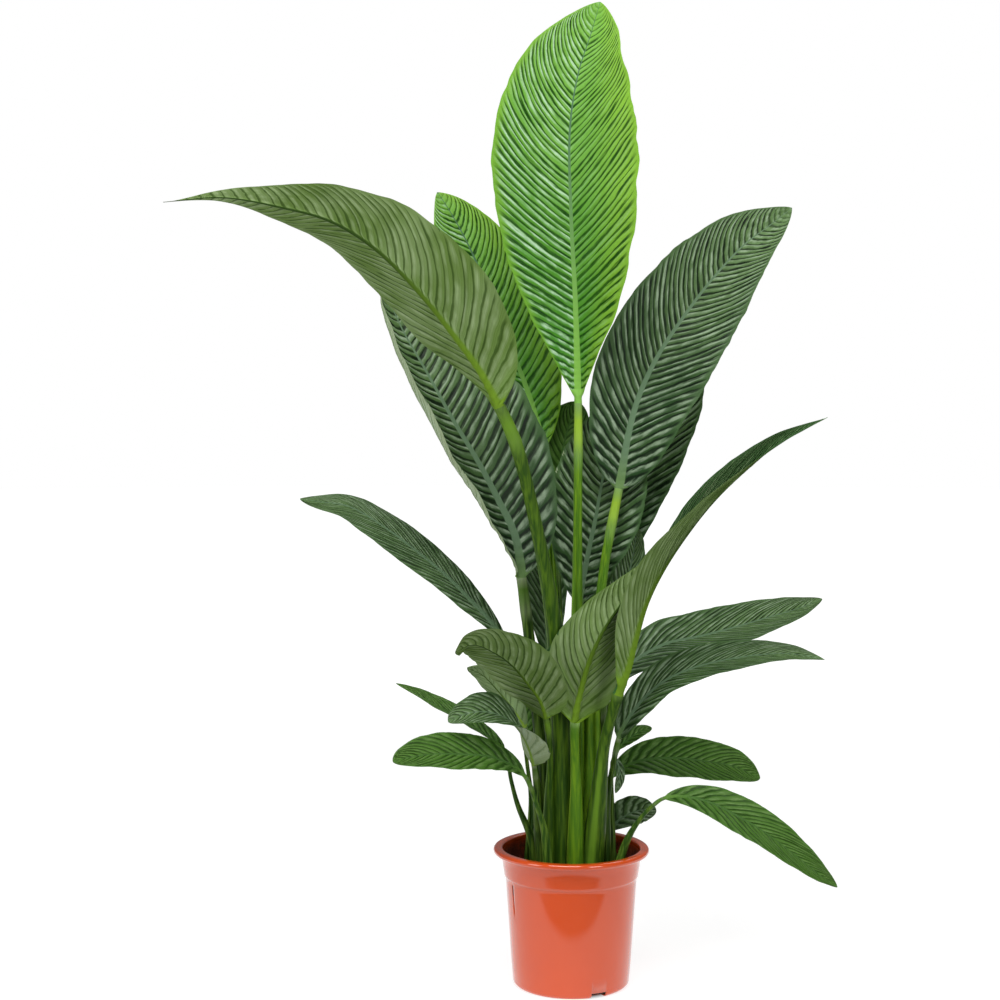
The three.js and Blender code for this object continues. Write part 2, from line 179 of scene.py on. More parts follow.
LEAVES: tuple[LeafRow, ...] = (
    LeafRow(
        "leaf_top_centre", Tone.BRIGHT, base=(5, 12), half=112, outline=(1.05, 0.8), stem=(9, 5.5),
        stalk=((7, 14, 275), (8, 22, 440), (9, 32, 605), (10, 48, 790)),
        rib=((7, 64, 925), (1, 80, 1055), (0, 95, 1170), (12, 104, 1248), (30, 108, 1304), (42, 110, 1346)),
        face=((0, -1, 0.1), (0, -1, 0.3)), left=(14, 4), right=(34, 4), vein_gap=9.6,
    ),
    LeafRow(
        "leaf_left_arching", Tone.PALE, base=(-14, -8), half=82, outline=(0.75, 1.75), stem=(11, 8),
        stalk=((-13, -14, 280), (-16, -24, 405), (-28, -38, 516), (-51, -58, 637), (-77, -78, 740),
               (-98, -90, 787)),
        rib=((-122, -105, 832), (-151, -122, 872), (-198, -148, 930), (-253, -172, 984), (-307, -194, 1016),
             (-366, -212, 1031), (-435, -228, 1041), (-504, -240, 1034)),
        face=((0.45, 0.8, 0.3), (0.1, 0.82, 0.57)), left=(18, 0), right=(28, 0), joint=0.91, vein_gap=15.0,
    ),
    LeafRow(
        "leaf_back_bright", Tone.BRIGHT, base=(-18, 32), half=72, outline=(0.8, 0.8), stem=(8, 5),
        stalk=((-14, 50, 296), (-19, 82, 460), (-26, 112, 597), (-36, 140, 724)),
        rib=((-54, 155, 795), (-83, 170, 873), (-114, 184, 952), (-143, 196, 1018), (-169, 205, 1066),
             (-188, 212, 1095)),
        face=((0.2, -1, 0.2), (0.2, -1, 0.3)),
    ),
    LeafRow(
        "leaf_left_dark", Tone.DARK, base=(-32, 8), half=107, outline=(0.7, 0.75), stem=(10, 7),
        stalk=((-32, 6, 264), (-45, 4, 374), (-57, 4, 470), (-68, 6, 554)),
        rib=((-78, 12, 612), (-100, 20, 659), (-127, 30, 710), (-163, 42, 770), (-198, 56, 833),
             (-233, 70, 894), (-260, 84, 956)),
        face=((0.35, -0.9, 0.2), (0.35, -0.9, 0.3)), left=(16, 74), right=(6, 8), vein_gap=12.5,
    ),
    LeafRow(
        "leaf_right_big", Tone.DARK, base=(22, 8), half=83, outline=(0.58, 0.8), stem=(9, 6),
        stalk=((29, 10, 263), (30, 18, 372), (35, 30, 468), (47, 46, 570), (67, 62, 672)),
        rib=((82, 74, 754), (97, 84, 803), (124, 94, 858), (159, 106, 910), (200, 118, 963),
             (246, 130, 1012), (287, 140, 1043), (316, 146, 1066)),
        face=((-0.1, -1, 0.2), (-0.1, -0.9, 0.5)), left=(32, 0), right=(8, 4), stalk_tone=Tone.BRIGHT,
    ),
    LeafRow(
        "leaf_right_behind", Tone.DARK, base=(24, 34), half=65, outline=(0.95, 0.7), stem=(8, 5),
        stalk=((33, 52, 268), (40, 68, 377), (47, 84, 459), (55, 98, 528)),
        rib=((69, 112, 605), (90, 128, 681), (119, 146, 759), (153, 164, 830), (187, 182, 888)),
        face=((-0.2, -1, 0.1), (-0.2, -1, 0.3)), left=(10, 0), right=(10, 0),
    ),
    LeafRow(
        "leaf_centre_dark", Tone.DARK, base=(2, 34), half=68, outline=(0.8, 0.7), stem=(7, 5),
        stalk=((4, 42, 256), (7, 52, 352), (10, 62, 441), (13, 70, 510)),
        rib=((24, 78, 572), (36, 86, 627), (47, 96, 686), (60, 108, 746), (72, 120, 795)),
        face=((-0.25, -1, 0.1), (-0.25, -1, 0.3)), left=(8, 0), right=(10, 0),
    ),
    LeafRow(
        "leaf_back_small", Tone.MID, base=(-4, 60), half=42, outline=(0.8, 0.6), stem=(6, 4),
        stalk=((-3, 74, 235), (-8, 100, 372), (-13, 125, 511), (-16, 138, 595)),
        rib=((-16, 146, 652), (-11, 154, 702), (-1, 162, 749), (15, 172, 792)),
        face=((0, -1, 0.2), (0, -1, 0.3)),
    ),
    LeafRow(
        "leaf_right_back_low", Tone.DARK, base=(40, 20), half=22, outline=(0.8, 0.7), stem=(5, 3.5),
        stalk=((44, 34, 244), (50, 50, 352), (59, 66, 462)),
        rib=((70, 74, 510), (85, 84, 560), (96, 96, 617)),
        face=((-0.2, -1, 0.2), (-0.2, -1, 0.3)),
    ),
    LeafRow(
        "leaf_front_lobed", Tone.PALE, base=(4, -24), half=64, outline=(0.4, 1.9), stem=(8, 6),
        stalk=((5, -34, 259), (3, -52, 368)),
        rib=((10, -60, 409), (21, -70, 451), (39, -80, 493), (66, -80, 533), (97, -78, 572),
             (127, -78, 609), (153, -79, 640)),
        face=((0.35, 0.9, -0.1), (0.2, 0.9, 0.2)), left=(60, 0), right=(8, 0), joint=0.99,
        stalk_tone=Tone.BRIGHT, vein_gap=13.5, sheath=1.5,
    ),
    LeafRow(
        "leaf_right_long", Tone.PALE, base=(27, -20), half=38, outline=(0.8, 1.1), stem=(10, 7),
        stalk=((35, -32, 258), (42, -48, 336), (59, -68, 408)),
        rib=((71, -80, 444), (79, -92, 482), (92, -108, 533), (113, -126, 580), (144, -146, 630),
             (175, -164, 671), (212, -180, 709), (253, -194, 744), (307, -208, 774)),
        face=((-0.6, 0.6, 0.4), (-0.6, -1.5, 0.75)), left=(30, 0), right=(50, 0), joint=0.99,
    ),
    LeafRow(
        "leaf_left_mid", Tone.DARK, base=(-42, 22), half=31, outline=(0.8, 0.7), stem=(6, 4.5),
        stalk=((-41, 26, 246), (-49, 32, 328), (-65, 40, 396), (-86, 48, 453)),
        rib=((-107, 56, 485), (-139, 66, 518), (-174, 76, 552), (-217, 88, 586), (-260, 98, 617),
             (-310, 108, 645), (-352, 116, 651), (-380, 122, 655)),
        face=((0.3, -0.75, 0.6), (0.1, -0.75, 0.6)), left=(5, 0), right=(-8, 0),
    ),
    LeafRow(
        "leaf_left_front", Tone.PALE, base=(-32, -16), half=54, outline=(0.5, 0.65), stem=(6, 4),
        stalk=((-31, -24, 257), (-30, -34, 320), (-36, -46, 372)),
        rib=((-44, -58, 398), (-60, -72, 422), (-81, -90, 449), (-104, -108, 468), (-132, -126, 481),
             (-154, -142, 474)),
        face=((0.3, 0.7, 0.6), (0.2, 0.7, 0.6)), right=(10, 0),
    ),
    LeafRow(
        "leaf_left_grey", Tone.MID, base=(-50, 0), half=27, outline=(0.7, 0.7), stem=(4, 3),
        stalk=((-44, -6, 253), (-52, -14, 316), (-63, -20, 355)),
        rib=((-81, -18, 382), (-100, -20, 405), (-120, -24, 426), (-141, -30, 437)),
        face=((0.3, 0.6, 0.7), (0.1, 0.6, 0.7)),
    ),
    LeafRow(
        "leaf_left_blue", Tone.DARK, base=(-40, -34), half=46, outline=(0.5, 0.7), stem=(5, 3.5),
        stalk=((-45, -38, 212), (-48, -44, 248), (-49, -50, 280), (-52, -58, 311)),
        rib=((-60, -67, 340), (-77, -78, 368), (-104, -90, 385), (-130, -100, 389), (-152, -108, 384),
             (-164, -112, 378)),
        face=((0.4, 0.3, 0.6), (-0.2, -1.2, 0.75)), left=(15, 0), right=(15, 0),
    ),
    LeafRow(
        "leaf_left_thin", Tone.MID, base=(-47, -18), half=20, outline=(0.7, 0.8), stem=(4, 2.5),
        stalk=((-56, -20, 207), (-73, -20, 249), (-82, -16, 282), (-90, -10, 319)),
        rib=((-108, -4, 335), (-127, 2, 347), (-158, 10, 365), (-186, 18, 379), (-213, 26, 393),
             (-240, 34, 406)),
        face=((0.3, -0.3, 0.9), (0.2, -0.3, 0.9)), left=(20, 0), right=(20, 0),
    ),
    LeafRow(
        "leaf_left_low", Tone.MID, base=(-32, -46), half=31, outline=(0.8, 0.6), stem=(4.5, 3),
        stalk=((-38, -52, 221), (-48, -60, 257), (-63, -70, 297)),
        rib=((-81, -80, 314), (-110, -96, 329), (-149, -114, 336), (-187, -130, 339), (-219, -142, 336),
             (-234, -148, 333)),
        face=((0.3, -0.55, 0.85), (0, -0.55, 0.85)), left=(5, 0), right=(25, 0),
    ),
    LeafRow(
        "leaf_left_stub", Tone.MID, base=(-58, 14), half=14, outline=(0.7, 0.7), stem=(4, 2.5),
        stalk=((-54, 18, 247), (-60, 24, 298), (-63, 27, 331)),
        rib=((-63, 28, 356), (-66, 28, 377), (-73, 26, 401)),
        face=((0, -1, 0.3), (0, -1, 0.3)),
    ),
    LeafRow(
        "leaf_right_upper", Tone.DARK, base=(46, 2), half=39, outline=(0.6, 0.7), stem=(5, 4),
        stalk=((45, 6, 250), (45, 12, 325), (47, 18, 388)),
        rib=((62, 24, 417), (90, 34, 438), (131, 48, 458), (181, 62, 467), (231, 76, 478), (282, 90, 491),
             (325, 102, 502), (358, 110, 514)),
        face=((-0.4, -0.7, 0.65), (-0.1, -0.7, 0.65)), left=(15, 0), right=(15, 0),
    ),
    LeafRow(
        "leaf_right_second", Tone.DARK, base=(46, -12), half=32, outline=(0.5, 0.8), stem=(5, 3.5),
        stalk=((48, -12, 254), (56, -16, 303), (63, -20, 340)),
        rib=((75, -28, 366), (97, -40, 398), (126, -54, 425), (166, -72, 445), (210, -90, 458),
             (247, -104, 465), (284, -118, 467), (320, -130, 462)),
        face=((-0.4, -0.7, 0.65), (0, -0.6, 0.75)), left=(15, 0), right=(15, 0),
    ),
    LeafRow(
        "leaf_right_small", Tone.MID, base=(56, 12), half=13, outline=(0.7, 0.6), stem=(3.5, 2.5),
        stalk=((51, 18, 247), (57, 24, 288), (65, 28, 315)),
        rib=((79, 30, 328), (96, 32, 339), (112, 34, 344)),
        face=((-0.3, -0.5, 0.8), (0, -0.5, 0.8)),
    ),
    LeafRow(
        "leaf_right_low", Tone.MID, base=(42, 38), half=37, outline=(0.7, 0.6), stem=(4.5, 3),
        stalk=((46, 42, 200), (50, 48, 241), (58, 52, 272)),
        rib=((77, 56, 286), (105, 62, 294), (147, 70, 295), (190, 78, 289), (233, 84, 280), (269, 88, 263)),
        face=((-0.3, -0.6, 0.75), (0.1, -0.6, 0.75)), left=(14, 0), right=(3, 0),
    ),
    LeafRow(
        "leaf_right_arching", Tone.MID, base=(60, -26), half=30, outline=(0.7, 0.7), stem=(4, 2.5),
        stalk=((75, -34, 207), (90, -42, 234), (106, -50, 254), (121, -56, 266)),
        rib=((148, -66, 270), (177, -78, 266), (211, -92, 252), (248, -108, 232), (285, -122, 206),
             (316, -134, 183), (337, -142, 169)),
        face=((0, -0.7, 0.7), (0.4, -0.7, 0.6)), left=(14, 0), right=(14, 0),
    ),
    LeafRow(
        "leaf_right_dark", Tone.DARK, base=(60, 34), half=27, outline=(0.6, 0.6), stem=(3.5, 2.5),
        stalk=((58, 42, 182), (59, 47, 199)),
        rib=((66, 52, 209), (91, 62, 221), (121, 72, 224)),
        face=((-0.2, -0.6, 0.8), (0, -0.6, 0.8)),
    ),
    LeafRow(
        "leaf_right_curled", Tone.DARK, base=(57, 4), half=8, outline=(0.7, 0.7), stem=(3, 2),
        stalk=((56, 3, 250), (55, 0, 285), (56, -2, 309)),
        rib=((60, -4, 307), (65, -6, 289), (60, -6, 262)),
        face=((0.5, -0.8, 0.3), (0.5, -0.8, 0.3)), left=(20, 0), right=(20, 0),
    ),
    LeafRow(
        "leaf_rear_left", Tone.DARK, base=(-26, 54), half=40, outline=(0.7, 0.8), stem=(6, 4),
        stalk=((-27, 68, 250), (-27, 90, 350), (-28, 115, 425)),
        rib=((-31, 155, 500), (-36, 205, 560), (-41, 265, 600), (-46, 325, 605), (-50, 385, 570),
             (-53, 430, 510)),
        face=((0, -0.6, 0.8), (0, 0.3, 1)), left=(14, 0), right=(14, 0),
    ),
    LeafRow(
        "leaf_rear_right", Tone.MID, base=(32, 54), half=42, outline=(0.7, 0.8), stem=(6, 4),
        stalk=((33, 70, 250), (34, 92, 350), (34, 118, 430)),
        rib=((36, 160, 510), (38, 215, 575), (41, 275, 615), (44, 335, 620), (46, 395, 585),
             (48, 440, 525)),
        face=((0, -0.6, 0.8), (0, 0.3, 1)), left=(14, 0), right=(14, 0),
    ),
    LeafRow(
        "leaf_rear_low", Tone.MID, base=(8, 62), half=32, outline=(0.7, 0.8), stem=(5, 3.5),
        stalk=((8, 78, 220), (8, 100, 280), (7, 124, 326)),
        rib=((6, 170, 385), (5, 220, 418), (4, 275, 425), (3, 330, 402), (2, 372, 360)),
        face=((0, -0.6, 0.8), (0, 0.3, 1)), left=(14, 0), right=(14, 0),
    ),
)


# --- Meshes ---


def finished(bm: bmesh.types.BMesh, name: str, crease: float = 40.0) -> bpy.types.Object:
    """Turn a bmesh into an object at the origin, smooth except where it folds sharply.

    Args:
        bm: The mesh, which is freed.
        name: The new object's name.
        crease: Degrees between two faces past which their edge stays sharp.

    Returns:
        The new object, linked to the scene.
    """
    limit = math.radians(crease)
    for face in bm.faces:
        face.smooth = True
    for edge in bm.edges:
        edge.smooth = len(edge.link_faces) != 2 or edge.calc_face_angle(0.0) < limit
    mesh = bpy.data.meshes.new(name)
    bm.to_mesh(mesh)
    bm.free()
    piece = bpy.data.objects.new(name, mesh)
    bpy.context.scene.collection.objects.link(piece)
    return piece


def spun(profile: Sequence[Pair], steps: int) -> bmesh.types.BMesh:
    """Spin a profile about +Z into a closed turned shape.

    Args:
        profile: Pairs of radius and height that start and end on the axis.
        steps: Segments of the full turn.

    Returns:
        A closed bmesh whose faces point outwards.
    """
    bm = bmesh.new()
    line = [bm.verts.new((radius, 0.0, height)) for radius, height in profile]
    edges = [bm.edges.new(pair) for pair in zip(line, line[1:])]
    turn = {"cent": (0, 0, 0), "axis": (0, 0, 1), "angle": math.tau, "steps": steps}
    bmesh.ops.spin(bm, geom=[*line, *edges], **turn, use_merge=True)
    bmesh.ops.remove_doubles(bm, verts=bm.verts, dist=1e-6)
    bmesh.ops.recalc_face_normals(bm, faces=bm.faces)
    return bm


def arc(centre: Pair, radius: float, start: float, end: float, steps: int) -> list[Pair]:
    """List points along an arc of a profile.

    Args:
        centre: The arc's centre as radius and height.
        radius: The arc's own radius.
        start: First angle in degrees, from outwards towards up.
        end: Last angle in degrees.
        steps: Segments of the arc.

    Returns:
        Pairs of radius and height.
    """
    angles = [math.radians(lerp(start, end, i / steps)) for i in range(steps + 1)]
    return [(centre[0] + radius * math.cos(a), centre[1] + radius * math.sin(a)) for a in angles]


def carve(piece: bpy.types.Object, cutters: Sequence[bpy.types.Object]) -> None:
    """Cut solids out of a piece and remove them.

    Args:
        piece: The piece to cut.
        cutters: Closed objects whose space is taken away.
    """
    for cutter in cutters:
        cut = piece.modifiers.new("cut", "BOOLEAN")
        cut.operation = "DIFFERENCE"
        cut.solver = "EXACT"
        cut.object = cutter
    evaluated = piece.evaluated_get(bpy.context.evaluated_depsgraph_get())
    mesh = bpy.data.meshes.new_from_object(evaluated)
    piece.modifiers.clear()
    old, piece.data = piece.data, mesh
    mesh.name = old.name
    bpy.data.meshes.remove(old)
    for cutter in cutters:
        bpy.data.objects.remove(cutter)


# --- Shader building ---


class Graph:
    """Short calls for adding nodes to one node tree."""

    def __init__(self, tree: bpy.types.NodeTree) -> None:
        """Keep the tree that nodes are added to."""
        self.tree = tree

    def add(self, kind: str, inputs: dict | None = None, **settings: object) -> bpy.types.Node:
        """Add a node.

        Args:
            kind: The node's type name without its ShaderNode prefix.
            inputs: Values or sockets for its inputs, by name or index.
            **settings: The node's own properties.

        Returns:
            The new node.
        """
        node = self.tree.nodes.new(kind if kind.startswith("Node") else f"ShaderNode{kind}")
        for key, value in settings.items():
            setattr(node, key, value)
        for key, value in (inputs or {}).items():
            self.feed(node.inputs[key], value)
        return node

    def feed(self, socket: bpy.types.NodeSocket, value: object) -> None:
        """Give an input its value.

        Args:
            socket: The input.
            value: A socket to link it to, a plain value, or the code of a display colour.
        """
        if isinstance(value, bpy.types.NodeSocket):
            self.tree.links.new(value, socket)
        else:
            socket.default_value = linear(value) if isinstance(value, str) else value

    def maths(self, operation: str, *values: object) -> bpy.types.NodeSocket:
        """Add a Math node over the values and return its result."""
        return self.add("Math", dict(enumerate(values)), operation=operation).outputs[0]

    def times(self, product: object, *factors: object) -> bpy.types.NodeSocket:
        """Multiply a value by factors in turn and return the product."""
        for factor in factors:
            product = self.maths("MULTIPLY", product, factor)
        return product

    def ramp(
        self, value: object, low: object, high: object, out_low: object = 0.0, out_high: float = 1.0
    ) -> bpy.types.NodeSocket:
        """Add a smooth rise.

        Args:
            value: The value that drives it.
            low: The value where the rise starts.
            high: The value where it ends, which may be below low.
            out_low: The result where it starts.
            out_high: The result where it ends.

        Returns:
            The result.
        """
        inputs = {"Value": value, "From Min": low, "From Max": high, "To Min": out_low, "To Max": out_high}
        return self.add("MapRange", inputs, interpolation_type="SMOOTHSTEP").outputs["Result"]

    def coats(self, colour: object, *coats: tuple[object, object]) -> bpy.types.NodeSocket:
        """Lay colours over a first one.

        Args:
            colour: The colour underneath.
            *coats: The share and the colour of each coat, from the lowest up.

        Returns:
            The colour that they make together.
        """
        for share, coat in coats:
            node = self.add("Mix", data_type="RGBA")
            for name, value in (("Factor", share), ("A", colour), ("B", coat)):
                self.feed(node.inputs[name], value)
            colour = node.outputs["Result"]
        return colour

    def noise(
        self, vector: object, scale: float, detail: float = 3.0, rough: float = 0.5
    ) -> bpy.types.NodeSocket:
        """Add a noise texture and return its value."""
        inputs = {"Vector": vector, "Scale": scale, "Detail": detail, "Roughness": rough}
        return self.add("TexNoise", inputs).outputs[0]

    def place(self) -> bpy.types.NodeSocket:
        """Return the place on the piece."""
        return self.add("TexCoord").outputs["Object"]

    def parts(self, vector: object) -> Outputs:
        """Return a vector's parts, which are called X, Y and Z."""
        return self.add("SeparateXYZ", {0: vector}).outputs

    def uv(self, name: str) -> Outputs:
        """Return the parts of a UV map."""
        return self.parts(self.add("UVMap", uv_map=name).outputs[0])

    def pattern(self, name: str, fill: Callable[[Graph, Outputs], Sockets], **inputs: object) -> Outputs:
        """Add a node group, which is built when it is first needed.

        Args:
            name: The group's name.
            fill: Adds the nodes inside and returns the socket for each output.
            **inputs: Values or sockets for its inputs, of which Place is a vector.

        Returns:
            The group's outputs.
        """
        tree = bpy.data.node_groups.get(name)
        if tree is None:
            tree = bpy.data.node_groups.new(name, "ShaderNodeTree")
            for label in inputs:
                kind = "NodeSocketVector" if label == "Place" else "NodeSocketFloat"
                tree.interface.new_socket(label, in_out="INPUT", socket_type=kind)
            inside = Graph(tree)
            results = fill(inside, inside.add("NodeGroupInput").outputs)
            for label in results:
                tree.interface.new_socket(label, in_out="OUTPUT", socket_type="NodeSocketFloat")
            inside.add("NodeGroupOutput", results)
        return self.add("Group", inputs, node_tree=tree).outputs


class Surface(Graph):
    """A node material, by way of its Principled shader."""

    def __init__(self, name: str) -> None:
        """Start the material under its name."""
        self.material = bpy.data.materials.new(name)
        self.material.use_nodes = True
        super().__init__(self.material.node_tree)

    def finish(self, inputs: dict, bump: dict | None = None) -> bpy.types.Material:
        """Feed the shader.

        Args:
            inputs: Values or sockets for its inputs.
            bump: The same for a bump that bends its normals.

        Returns:
            The material.
        """
        if bump:
            inputs = {**inputs, "Normal": self.add("Bump", bump).outputs[0]}
        shader = self.tree.nodes["Principled BSDF"]
        for name, value in inputs.items():
            self.feed(shader.inputs[name], value)
        return self.material


def side_veins(graph: Graph, source: Outputs) -> Sockets:
    """Draw a blade's side veins.

    Args:
        graph: The group's graph.
        source: Phase, the vein count along the blade; Across, the share from the midrib to the
            margin; Width, where a groove's side ends; and Wander, how unevenly the veins run.

    Returns:
        The grooves, where the upper surface takes painted shade; the crests between them, lit on one flank
        as a painted highlight; and the height of the fine veins.
    """
    phase, across = source["Phase"], source["Across"]
    drift = graph.add("CombineXYZ", {0: graph.times(phase, 0.6), 1: across}).outputs[0]
    shift = graph.maths("SUBTRACT", graph.noise(drift, 4.0, 2.0), 0.5)
    phase = graph.maths("MULTIPLY_ADD", shift, source["Wander"], phase)
    middle = graph.times(graph.maths("PINGPONG", phase, 0.5), 2.0)
    # The painted highlight sits on the flank that faces the light, a little off the middle of each bulge.
    flank = graph.times(graph.maths("PINGPONG", graph.maths("SUBTRACT", phase, 0.16), 0.5), 2.0)
    cell = {0: graph.maths("FLOOR", phase), 1: graph.times(across, 2.2)}
    spot = graph.add("CombineXYZ", cell).outputs[0]
    broken = graph.ramp(graph.noise(spot, 1.7, 2.0), 0.34, 0.66, 0.15, 1.0)
    uneven = graph.ramp(graph.noise(spot, 0.9, 1.0), 0.3, 0.7, 0.8, 1.0)
    line = graph.ramp(middle, source["Width"], 0.12)
    fine = graph.maths("SINE", graph.times(phase, FINE_VEINS * math.tau))
    return {
        "Groove": graph.times(line, graph.ramp(across, 1.0, 0.88), uneven),
        "Crest": graph.times(graph.ramp(flank, 0.35, 1.0), broken, graph.ramp(across, 1.0, 0.85)),
        "Fine": graph.maths("MULTIPLY_ADD", fine, 0.5, 0.5),
    }


def tissue_mottle(graph: Graph, source: Outputs) -> Sockets:
    """Draw living tissue's uneven tint, as a broad patch mask and a fine grain."""
    place = source["Place"]
    patch = graph.ramp(graph.noise(place, 14.0, 2.0), 0.38, 0.68)
    return {"Patch": patch, "Grain": graph.noise(place, 420.0, 4.0, 0.6)}


def stalk_fibres(graph: Graph, source: Outputs) -> Sockets:
    """Draw a stalk's lengthwise fibres, as a streak mask and a fine height."""
    drawn = graph.add("Mapping", {"Vector": source["Place"], "Scale": (1.0, 1.0, 0.06)}).outputs[0]
    streak = graph.ramp(graph.noise(drawn, 260.0, 2.0), 0.35, 0.7)
    return {"Streak": streak, "Fine": graph.noise(drawn, 900.0, 2.0)}


class BladeSurface(Surface):
    """A blade's material, with the coordinates and patterns that both its sides share.

    Attributes:
        signed: The share across the blade, from -1 at the left margin to 1 at the right.
        across: The same without its sign.
        grow: The share along it, from 1 at its foot to 2 at its tip.
        rib: How close the midrib is.
        veins: The side veins: the groove mask for the painted shade on the upper surface, the crest mask
            for the painted highlight, and the fine veins.
        mottle: The tissue's tint: Patch and Grain.
    """

    def __init__(self, name: str, width: float, wander: float) -> None:
        """Start the material.

        Args:
            name: Its name.
            width: Where a vein groove's side ends, from 0 in its middle to 1 between two.
            wander: How unevenly the veins run.
        """
        super().__init__(name)
        blade, form = self.uv("blade"), self.uv("form")
        self.signed, self.grow, self.rib = blade["Y"], form["X"], form["Y"]
        self.across = self.maths("ABSOLUTE", self.signed)
        run = {"Phase": blade["X"], "Across": self.across}
        self.veins = self.pattern("Side veins", side_veins, **run, Width=width, Wander=wander)
        self.mottle = self.pattern("Tissue mottle", tissue_mottle, Place=self.place())

    def dress(self, colour: object, rough: Pair, fine: float) -> bpy.types.Material:
        """Finish the material.

        Args:
            colour: Its colour.
            rough: The lowest and the highest roughness.
            fine: How far the fine veins stand out beside the tissue's grain.

        Returns:
            The material.
        """
        grain = self.mottle["Grain"]
        height = self.maths("MULTIPLY_ADD", self.veins["Fine"], fine, grain)
        inputs = {"Base Color": colour, "Roughness": self.ramp(grain, 0.2, 0.8, *rough), **TISSUE}
        return self.finish(inputs, {"Height": height, "Distance": 0.4 * MM, "Strength": 0.6})


